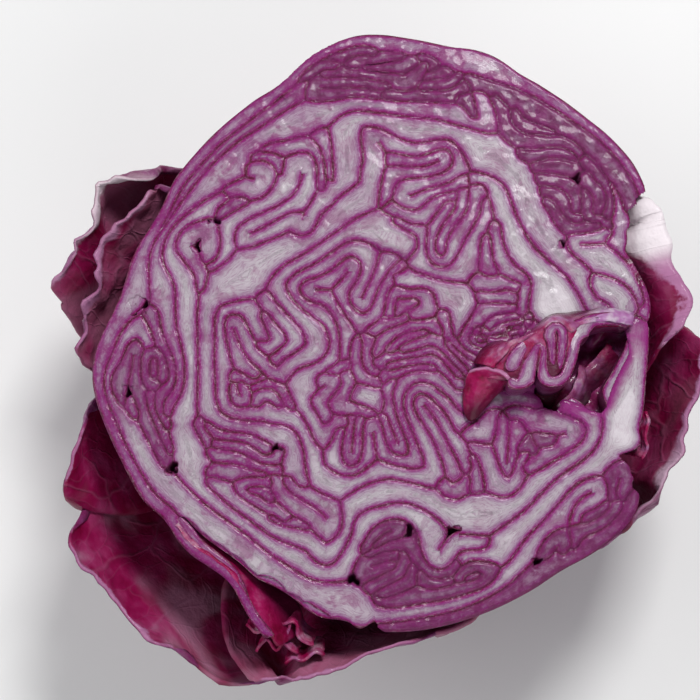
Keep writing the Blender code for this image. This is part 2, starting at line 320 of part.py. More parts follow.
TORN_FOLD_RIM = [
    (42.3, -10.3, 8), (42.2, -6.6, 9), (42.3, -2.6, 9.5), (43.4, -0.8, 9.5), (44.5, -2.6, 9.5),
    (44.5, -6.2, 9), (44, -9.7, 8)]
TORN_FOLD_FOOT = [(x, y, HOLLOW_DEPTH) for x, y, h in TORN_FOLD_RIM]

# loose outer leaves: layer, then the rim as x, y and height over the cut
WRAPPERS = {
    "wrapper_left_inner": (0, [
        (-50.9, 37.1, -1), (-54.5, 35.8, -1.5), (-56.1, 32.3, -2), (-57.6, 28.5, -2),
        (-61.3, 24.8, -2.5), (-64.6, 20.9, -3), (-66.6, 16.5, -3), (-68.3, 12, -5), (-70, 6.8, -7),
        (-71.3, 0.7, -9), (-71.6, -6.3, -10)]),
    "wrapper_left_outer": (1, [
        (-52.6, 41.2, -2), (-56.2, 41, -2), (-60.7, 39.4, -2), (-65.9, 37.4, -3), (-69, 34.8, -3),
        (-69.8, 31.6, -4), (-70.4, 28, -4), (-72.1, 24.6, -5), (-74.4, 21, -7), (-76.9, 15.9, -9),
        (-78.4, 10.4, -12)]),
    "wrapper_left_low": (0, [
        (-68.6, -16.8, -8), (-70.6, -23.1, -7), (-72.5, -29.3, -6), (-73.9, -35.4, -6),
        (-74.6, -40.2, -8)]),
    "wrapper_cup": (1, [
        (-71.3, -44.4, -9), (-72.5, -48.9, -9), (-70.4, -53.7, -10), (-67, -58.8, -11),
        (-62.5, -64.1, -12), (-56.9, -69.2, -12), (-50.6, -73.9, -12), (-43.7, -77.8, -13)]),
    "wrapper_bottom": (0, [
        (15.6, -72.6, -3), (8.6, -73.6, -3), (1.1, -75.9, -4), (-7, -78.7, -5), (-15.1, -81.3, -6),
        (-23.3, -82.6, -8), (-31.6, -81.9, -10)]),
    "wrapper_right_high": (0, [
        (68.8, 31.9, -1), (70.6, 27.2, -1), (72.6, 22, -1), (74.6, 16.4, -1), (76.2, 11.2, -1),
        (76.8, 7.4, -1), (75.8, 4, -1), (73.4, 1.2, -1), (70.8, -1, -1), (69.8, -3.2, -1)]),
    "wrapper_right_low": (1, [
        (79.5, 2.8, -7), (80.1, -4.8, -7), (79.7, -12.8, -8), (77.8, -20.3, -8), (75, -27.4, -8),
        (71.7, -34, -9), (67.6, -40.6, -10), (62.7, -47, -12)]),
}

# flesh, skin and stalk colours, linear red, green and blue
FLESH_PALE = (0.62, 0.36, 0.58)
FLESH_DEEP = (0.42, 0.14, 0.36)
SKIN = (0.22, 0.015, 0.09)
STALK_COLOUR = (0.72, 0.62, 0.60)


def material(name, colour, roughness):
    """A plain surface of one colour."""
    made = bpy.data.materials.new(name)
    made.use_nodes = True
    shader = made.node_tree.nodes["Principled BSDF"]
    shader.inputs["Base Color"].default_value = (*colour, 1.0)
    shader.inputs["Roughness"].default_value = roughness
    shader.inputs["Metallic"].default_value = 0.0
    made.diffuse_color = (*colour, 1.0)
    return made


def mix(first, second, share):
    return tuple(a + (b - a) * share for a, b in zip(first, second))


def add_body(name, points, faces, surface):
    """One closed body from points in millimetres above the stalk's flat cut."""
    mesh = bpy.data.meshes.new(name)
    mesh.from_pydata([tuple(float(v) * MM for v in p) for p in points], [], faces)
    mesh.materials.append(surface)
    mesh.validate()
    mesh.update()
    body = bpy.data.objects.new(name, mesh)
    bpy.context.collection.objects.link(body)
    return body


def closed_band(name, one_side, other_side, surface):
    """A solid between two grids of points, rows from the top down and columns along the leaf.

    Both grids are split into triangles along the same diagonals, so a thin leaf keeps its thickness.
    """
    rows, columns = one_side.shape[:2]
    points = [tuple(p) for p in one_side.reshape(-1, 3)] + [tuple(p) for p in other_side.reshape(-1, 3)]
    far = rows * columns

    def at(row, column):
        return row * columns + column

    faces = []
    for row in range(rows - 1):
        for column in range(columns - 1):
            a, b = at(row, column), at(row, column + 1)
            c, d = at(row + 1, column + 1), at(row + 1, column)
            faces += [(a, b, c), (a, c, d), (far + a, far + c, far + b), (far + a, far + d, far + c)]
    for column in range(columns - 1):
        a, b = at(0, column), at(0, column + 1)
        faces += [(a, far + a, far + b), (a, far + b, b)]
        a, b = at(rows - 1, column), at(rows - 1, column + 1)
        faces += [(a, b, far + b), (a, far + b, far + a)]
    for row in range(rows - 1):
        a, d = at(row, 0), at(row + 1, 0)
        faces += [(a, d, far + d), (a, far + d, far + a)]
        a, d = at(row, columns - 1), at(row + 1, columns - 1)
        faces += [(a, far + d, d), (a, far + a, far + d)]
    body = add_body(name, points, faces, surface)
    face_outwards(body)
    return body


def face_outwards(body):
    """Turn every face over if the body encloses a negative volume."""
    mesh = body.data
    volume = 0.0
    for face in mesh.polygons:
        corners = [mesh.vertices[i].co for i in face.vertices]
        for second, third in zip(corners[1:], corners[2:]):
            volume += corners[0].dot(second.cross(third))
    if volume < 0.0:
        mesh.flip_normals()


def smooth_route(points):
    """The route as a smooth curve: evenly spaced rows of x, y and the largest half thickness."""
    given = np.array([(*p[:2], p[2] if len(p) > 2 else HALF_THICKNESS) for p in points], float)
    ends = np.vstack([2 * given[0] - given[1], given, 2 * given[-1] - given[-2]])
    curve = []
    for before, start, stop, after in zip(ends, ends[1:], ends[2:], ends[3:]):
        knots = [0.0]
        for p, q in ((before, start), (start, stop), (stop, after)):
            knots.append(knots[-1] + math.sqrt(max(1e-6, math.dist(p[:2], q[:2]))))
        t0, t1, t2, t3 = knots
        pieces = max(2, math.ceil(math.dist(start[:2], stop[:2]) / STEP))
        for t in np.linspace(t1, t2, pieces, endpoint=False):
            a1 = ((t1 - t) * before + (t - t0) * start) / (t1 - t0)
            a2 = ((t2 - t) * start + (t - t1) * stop) / (t2 - t1)
            a3 = ((t3 - t) * stop + (t - t2) * after) / (t3 - t2)
            b1 = ((t2 - t) * a1 + (t - t0) * a2) / (t2 - t0)
            b2 = ((t3 - t) * a2 + (t - t1) * a3) / (t3 - t1)
            curve.append(((t2 - t) * b1 + (t - t1) * b2) / (t2 - t1))
    curve.append(given[-1])
    curve = np.array(curve)
    for _ in range(3):
        curve[1:-1] = 0.25 * curve[:-2] + 0.5 * curve[1:-1] + 0.25 * curve[2:]
    along = np.concatenate([[0.0], np.cumsum(np.hypot(*np.diff(curve[:, :2], axis=0).T))])
    wanted = np.linspace(0.0, along[-1], max(4, round(along[-1] / STEP) + 1))
    return np.stack([np.interp(wanted, along, curve[:, k]) for k in range(3)], axis=1)


def side_directions(curve):
    """Unit vectors across the route, to its left."""
    along = np.gradient(curve[:, :2], axis=0)
    along /= np.linalg.norm(along, axis=1)[:, None]
    return np.stack([-along[:, 1], along[:, 0]], axis=1)


def eased(values, reach=3):
    """The smallest value near each sample, then their mean, so a side stays smooth."""
    padded = np.pad(values, reach, mode="edge")
    lowest = np.min([padded[k:k + len(values)] for k in range(2 * reach + 1)], axis=0)
    padded = np.pad(lowest, reach, mode="edge")
    return np.mean([padded[k:k + len(values)] for k in range(2 * reach + 1)], axis=0)


def leaf_sides(routes):
    """Left and right edge of every leaf: half way to the nearest leaf or fold, less the gap."""
    curves = {name: smooth_route(points) for name, points in routes.items()}
    everything = np.vstack([curve[:, :2] for curve in curves.values()])
    owner = np.concatenate([np.full(len(curve), k) for k, curve in enumerate(curves.values())])
    place = np.concatenate([np.arange(len(curve)) for curve in curves.values()])
    sides = {}
    for number, (name, curve) in enumerate(curves.items()):
        across = side_directions(curve)
        offset = everything[None] - curve[:, None, :2]
        squared = (offset ** 2).sum(axis=2)
        sample = np.arange(len(curve))[:, None]
        same_spot = (owner[None] == number) & (np.abs(place[None] - sample) <= 1)
        run = np.arange(len(curve)) * STEP
        end = np.clip(np.minimum(run, run[-1] - run) / TIP_TAPER, 0.0, 1.0)
        taper = TIP_SHARE + (1.0 - TIP_SHARE) * np.sqrt(end)
        edges = []
        for side in (1.0, -1.0):
            reach = side * np.einsum("ijk,ik->ij", offset, across)
            usable = (reach > 1e-6) & ~same_spot
            limit = np.where(usable, squared / np.where(usable, 2.0 * reach, 1.0), np.inf).min(axis=1)
            half = np.clip(limit - LEAF_GAP / 2, 0.3, curve[:, 2])
            edges.append(curve[:, :2] + side * across * (eased(half) * taper)[:, None])
        sides[name] = (edges[0], edges[1])
    return sides


def needed_stations(left, right):
    """Indices of the fewest stations that keep both edges within CHORD_ERROR."""
    both = np.hstack([left, right])
    kept = {0, len(both) - 1}
    spans = [(0, len(both) - 1)]
    while spans:
        first, last = spans.pop()
        if last - first < 2:
            continue
        way = both[last] - both[first]
        between = both[first + 1:last] - both[first]
        share = np.clip(between @ way / max(1e-9, way @ way), 0.0, 1.0)
        stray = between - share[:, None] * way
        error = np.maximum(np.hypot(stray[:, 0], stray[:, 1]), np.hypot(stray[:, 2], stray[:, 3]))
        worst = int(error.argmax())
        if error[worst] > CHORD_ERROR:
            middle = first + 1 + worst
            kept.add(middle)
            spans += [(first, middle), (middle, last)]
    return sorted(kept)


LEVEL_DEPTHS = [ARC_RADIUS * math.sin(math.radians(a)) for a in LEVEL_ANGLES]
LEVEL_SCALES = [math.cos(math.radians(a)) for a in LEVEL_ANGLES]


def scale_at(depth):
    """How much the head has narrowed at a depth under the cut face."""
    return np.interp(depth, LEVEL_DEPTHS, LEVEL_SCALES)


def leaf_depth(left, right):
    """A leaf goes down until the stalk is in its way."""
    nearest = min(np.hypot(*left.T).min(), np.hypot(*right.T).min())
    return next(depth for reach, depth in LEAF_REACH if nearest >= reach)


def build_leaf(name, left, right, share, top=0.0, lean=None):
    stations = needed_stations(left, right)
    bottom = leaf_depth(left, right)
    depths = [top] + [d for d in LEVEL_DEPTHS if top < d < bottom - 1.0] + [bottom]
    grids = []
    for edge in (left[stations], right[stations]):
        rows = []
        for depth in depths:
            plan = edge * scale_at(depth)
            if lean is not None:
                inwards = plan / np.linalg.norm(plan, axis=1)[:, None]
                leant = lean[stations] * scale_at(depth) * min(1.0, depth / LEVEL_DEPTHS[1])
                plan = plan - inwards * leant[:, None]
            rows.append(np.column_stack([plan, np.full(len(plan), HEAD_DEPTH - depth)]))
        grids.append(np.array(rows))
    surface = material(name, mix(FLESH_PALE, FLESH_DEEP, share), 0.45)
    return closed_band(name, grids[0], grids[1], surface)


def build_head(sides):
    for count, name in enumerate(LEAVES):
        left, right = sides[name]
        lean = None
        if name == "leaf_rim_1":
            run = np.arange(len(left)) * STEP
            lean = SPRUNG_LEAN * np.clip(1.0 - run / SPRUNG_LENGTH, 0.0, 1.0) ** 2
        build_leaf(name, left, right, (count * 0.37) % 1.0, lean=lean)
    left, right = sides["leaf_in_hollow"]
    build_leaf("leaf_in_hollow", left, right, 1.0, top=HOLLOW_LEAF_TOP)


def build_stalk():
    """The stalk and the stem that it becomes inside the head, turned about the axis."""
    points = []
    for radius, height in STALK_PROFILE:
        for side in range(STALK_SIDES):
            angle = 2.0 * math.pi * side / STALK_SIDES
            points.append((radius * math.cos(angle), radius * math.sin(angle), height))
    faces = [tuple(reversed(range(STALK_SIDES)))]
    for ring in range(len(STALK_PROFILE) - 1):
        for side in range(STALK_SIDES):
            after = (side + 1) % STALK_SIDES
            low, high = ring * STALK_SIDES, (ring + 1) * STALK_SIDES
            faces.append((low + side, low + after, high + after, high + side))
    last = (len(STALK_PROFILE) - 1) * STALK_SIDES
    faces.append(tuple(last + side for side in range(STALK_SIDES)))
    body = add_body("stalk", points, faces, material("stalk", STALK_COLOUR, 0.6))
    face_outwards(body)


def thickened(grid, thickness):
    """The two faces of a sheet, half the thickness to each side of its middle surface."""
    down = np.gradient(grid, axis=0)
    along = np.gradient(grid, axis=1)
    normal = np.cross(along, down)
    normal /= np.linalg.norm(normal, axis=2)[:, :, None]
    return grid + normal * thickness / 2, grid - normal * thickness / 2


def build_torn(name, rim, foot):
    """A crumpled sheet between its top edge and its lower edge."""
    rim = np.array(rim, float)
    foot = np.array(foot, float)
    rows = np.array([rim + (foot - rim) * row / TORN_ROWS for row in range(TORN_ROWS + 1)])
    rows[:, :, 2] += HEAD_DEPTH
    one_side, other_side = thickened(rows, TORN_THICKNESS)
    closed_band(name, one_side, other_side, material(name, FLESH_DEEP, 0.45))


def head_outline(sides):
    """Largest radius of the head in each direction, as a function of the angle in radians."""
    edges = np.vstack([np.vstack(pair) for pair in sides.values()])
    angle = np.arctan2(edges[:, 1], edges[:, 0])
    radius = np.hypot(edges[:, 0], edges[:, 1])
    directions = np.linspace(-math.pi, math.pi, 121)
    window = math.radians(5.0)
    outline = []
    for direction in directions:
        apart = np.abs((angle - direction + math.pi) % (2 * math.pi) - math.pi)
        outline.append(radius[apart < window].max())
    return lambda a: np.interp((a + math.pi) % (2 * math.pi) - math.pi, directions, outline)


def level_row(radius, angle, height):
    """Points at a radius, an angle and a height, each a number or a row of them."""
    radius, angle, height = np.broadcast_arrays(radius, angle, height)
    return np.stack([radius * np.cos(angle), radius * np.sin(angle), height], axis=1)


def build_wrapper(name, layer, rim, outline):
    """A loose leaf that leans away at its rim and hugs the head lower down."""
    rim = np.array(rim, float)
    angle = np.unwrap(np.arctan2(rim[:, 1], rim[:, 0]))
    run = np.concatenate([[0.0], np.cumsum(np.hypot(*np.diff(rim[:, :2], axis=0).T))])
    even = angle[0] + (angle[-1] - angle[0]) * run / run[-1]
    rim_depth = -rim[:, 2]
    clearance = WRAPPER_CLEARANCE[layer]
    flare = np.hypot(rim[:, 0], rim[:, 1]) - outline(angle) * scale_at(rim_depth) - clearance
    side, low, heel, foot = LEVEL_DEPTHS[1:]
    rows = []
    for depth in (rim_depth, (rim_depth + side) / 2, side, (side + low) / 2, low, heel, foot):
        share = (depth - rim_depth) / (foot - rim_depth)
        turned = angle + (even - angle) * share ** 0.6
        lean = flare * (1.0 - share) ** WRAPPER_FLARE + clearance * WRAPPER_SPREAD * share ** 3
        radius = outline(turned) * scale_at(depth) + clearance + lean
        rows.append(level_row(radius, turned, HEAD_DEPTH - depth))
    one_side, other_side = thickened(np.array(rows), WRAPPER_THICKNESS)
    closed_band(name, one_side, other_side, material(name, SKIN, 0.4))


def main():
    for old in list(bpy.data.objects):
        bpy.data.objects.remove(old, do_unlink=True)
    routes = dict(LEAVES)
    routes["leaf_in_hollow"] = HOLLOW_LEAF
    spacers = {"torn": [(x, y, 1.0) for x, y, h in TORN_RIM[5:]],
               "torn_fold": [(x, y, 1.0) for x, y, h in TORN_FOLD_RIM]}
    sides = leaf_sides({**routes, **spacers})
    build_head(sides)
    build_stalk()
    build_torn("leaf_torn", TORN_RIM, TORN_FOOT)
    build_torn("leaf_torn_fold", TORN_FOLD_RIM, TORN_FOLD_FOOT)
    outline = head_outline({name: sides[name] for name in LEAVES})
    for name, (layer, rim) in WRAPPERS.items():
        build_wrapper(name, layer, rim, outline)


main()
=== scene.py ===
"""Half a red cabbage, cut across and resting on its stalk with the cut face up.

Lengths in the tables are in millimetres: x to the right and y to the back, measured from the head's
axis on the cut face. Everything that is built is in metres, in the frame's place.
"""

import math

import bpy
import numpy as np
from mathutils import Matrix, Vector, noise


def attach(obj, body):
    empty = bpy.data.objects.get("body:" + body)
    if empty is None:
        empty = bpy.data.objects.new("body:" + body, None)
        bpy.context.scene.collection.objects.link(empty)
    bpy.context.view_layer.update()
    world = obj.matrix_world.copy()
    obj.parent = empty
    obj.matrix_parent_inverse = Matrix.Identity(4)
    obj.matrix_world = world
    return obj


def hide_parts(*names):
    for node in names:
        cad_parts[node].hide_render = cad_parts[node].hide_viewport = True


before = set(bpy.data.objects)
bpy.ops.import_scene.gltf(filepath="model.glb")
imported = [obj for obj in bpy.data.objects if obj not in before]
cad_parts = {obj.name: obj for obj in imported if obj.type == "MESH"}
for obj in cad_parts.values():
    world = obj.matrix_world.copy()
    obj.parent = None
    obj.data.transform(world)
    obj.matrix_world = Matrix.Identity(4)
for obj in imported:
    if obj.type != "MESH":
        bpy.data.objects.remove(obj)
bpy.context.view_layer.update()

# The head: one bud of leaves packed so tightly that they fold and crinkle
# against each other. Each leaf is a thin fleshy sheet with a dark skin on both
# sides and a thick pale rib; the knife shows every one of them as a band.

# In each table: how pale a leaf is, then its route over the cut as x, y and the most that half of it can
# be thick. First the outermost leaves of the head, whose skin shows on its side.
RIM_LEAVES = {
    "leaf_rim_1": (0.35, [
        (-24, -72.5, 1.1), (-26.6, -69.4, 1.1), (-29.2, -65.4, 1.1), (-31.4, -61.2, 1.1),
        (-34.2, -57.8, 1.2), (-38, -55, 1.3), (-42, -52.2, 1.4), (-45.2, -48.6), (-46.8, -46, 1.4),
        (-49, -43.2), (-51.8, -40.9), (-54.3, -38), (-56.4, -34.2), (-58.4, -30.4), (-60.6, -26),
        (-62.6, -21.5), (-64.4, -16.8), (-65.4, -12, 1.6), (-65.1, -7.5, 1.8), (-63.8, -3.2, 2),
        (-62, 1, 2), (-60, 5, 2.2), (-58, 9, 2.6), (-56.9, 13, 2.6), (-56.2, 17, 2.3), (-54.8, 21, 1.9),
        (-52.6, 25, 1.6), (-50.3, 29, 1.6), (-48.6, 33, 1.6), (-46.8, 37.2), (-44.2, 40.6, 1.6),
        (-41.6, 43.8, 1.6), (-38.8, 47, 1.6), (-36, 49.8, 1.6), (-33, 52.5, 1.6), (-30, 55, 1.6),
        (-27, 57.3, 1.6), (-24, 59.3), (-21.4, 61.4, 1.3), (-18.8, 63.9, 1.2), (-16.2, 66.5, 1.2),
        (-13.5, 68.8, 1.2), (-10.5, 70.6, 1.2), (-7.5, 72, 1.3), (-4.5, 73, 1.4), (-1, 73.4, 1.6),
        (3, 73, 1.9), (7, 72.4, 1.9), (11, 71.7, 1.9), (15, 70.7, 2), (18.5, 69.6, 2.4), (21.5, 68.6, 3),
        (24.8, 67.9, 3.2), (28, 66.9, 3.2), (31.5, 65.4, 2.8), (34.5, 63.9, 2.1), (37.5, 62.4, 1.6),
        (40.5, 60.6, 1.6), (43.5, 58.6, 1.6), (46.5, 56.5, 1.6), (49.5, 54.3), (52.5, 52, 1.4),
        (55.3, 49.8, 1.3), (58, 47.3, 1.3), (60.4, 44.6, 1.3), (62.6, 41.8, 1.3), (64.4, 38.6, 1.2),
        (65.8, 35, 1.2)]),
    "leaf_rim_2": (0.6, [
        (-53.4, -2.6, 1), (-54.6, -0.2, 1.2), (-56.6, 1.4, 1.3), (-58.8, -0.2, 1.3), (-60.1, -3, 1.3),
        (-61.2, -6, 1.2), (-62.8, -9, 1.1), (-63.5, -12, 1), (-63.1, -15, 1), (-61.8, -18, 1.2),
        (-60.1, -20.8), (-58.1, -23.9, 2.1), (-56.2, -27.2, 2.4), (-54, -30.8, 2.4), (-51.6, -34.4, 2.4),
        (-48.6, -37.8, 2.6), (-44.4, -41.2, 2.7), (-39.8, -44.6, 2.6), (-35.4, -47.8, 2.5),
        (-31, -50.8, 2.3), (-27, -53.8, 2.2), (-23, -56.6, 2.1), (-19, -59.2, 2.1), (-15, -61.4, 2.6),
        (-11, -63.4, 3.2), (-6.5, -65.2, 3.6), (-2, -66.8, 2.8), (3, -67.6, 1.8), (8, -67.4, 1.3),
        (13, -66.6, 1.2), (18, -65.6, 1.2), (22.5, -64.2, 1.2), (27, -62.2, 1.2), (31, -59.6, 1.3),
        (34, -56.6, 1.3), (36, -53.6), (38, -50.2, 1.7), (41, -47.2, 1.6), (44.4, -44, 1.7),
        (46.6, -41, 1.4), (48.4, -38.6, 1.2), (50.4, -36.9, 1.2), (53, -36.4, 1.2), (55, -37.8, 1.2),
        (54.4, -40, 1.2), (52, -41.3, 1.3), (49.4, -42.4, 1.3), (48.4, -44.4, 1.1)]),
    "leaf_rim_3": (0.15, [
        (2, -70.4, 1), (7, -70.2, 1.2), (12, -69.6, 1.3), (17, -68.6, 1.3), (22, -67.2, 1.3), (27, -65.2),
        (32, -62.6, 1.8), (36.4, -59.8, 2.2), (40.4, -57.2, 2.2), (45, -54.8, 1.8), (49.6, -52.4, 1.8),
        (54, -49.8, 1.6), (58, -46.8, 1.3), (61, -43.4, 1.2), (62.6, -39.8, 1)]),
    "leaf_rim_4": (1.22, [
        (65.2, 2, 1.2), (65, -2, 1.8), (64, -6, 2.4), (62.8, -10, 3.2), (61.6, -14, 4), (60.6, -18, 4.4),
        (59.8, -22, 4.2), (58, -26, 3.4), (55, -30, 2.6), (51.5, -32.8, 2.1), (48, -34.8, 1.9),
        (45, -37.2, 1.8), (42.4, -40, 1.8), (39.5, -43.2, 2), (36, -46.3, 2.4), (32.6, -49.2, 2.6),
        (29.8, -52.2, 2.4), (26.4, -53.4, 1.4), (23.4, -53.6, 1), (21, -54.6, 0.9)]),
    "leaf_rim_5": (0.15, [
        (24.2, 63.2, 1.3), (27, 62, 1.6), (30, 60.8, 1.8), (33, 59.4, 2), (36, 57.8, 2.2), (39, 56.2, 2.4),
        (42, 54.4, 2.5), (45, 52.5, 2.4), (48, 50.6, 2.1), (51, 48.7, 2), (53.8, 46.4, 2),
        (56.2, 43.8, 2.2), (58.4, 41, 2.4), (60.3, 38, 2.6), (61.8, 35, 2.8), (62.8, 31.5, 2.8)]),
    "leaf_rim_6": (0.3, [
        (-50.6, 26.2, 1), (-48.7, 29.8, 1.1), (-46.6, 33, 1.3), (-44.4, 36, 1.4), (-42.2, 38.9, 1.4),
        (-40, 41.6, 1.4), (-37.6, 44.2, 1.4), (-35, 46.6, 1.4), (-32.4, 48.7, 1.4), (-29.8, 50.7, 1.4),
        (-27.2, 52.7, 1.4), (-24.8, 54.6, 1.2), (-22.6, 56.6, 1.2), (-20.4, 58.4, 1.2), (-18.2, 60.2, 1.2),
        (-16.6, 62, 1)]),
}
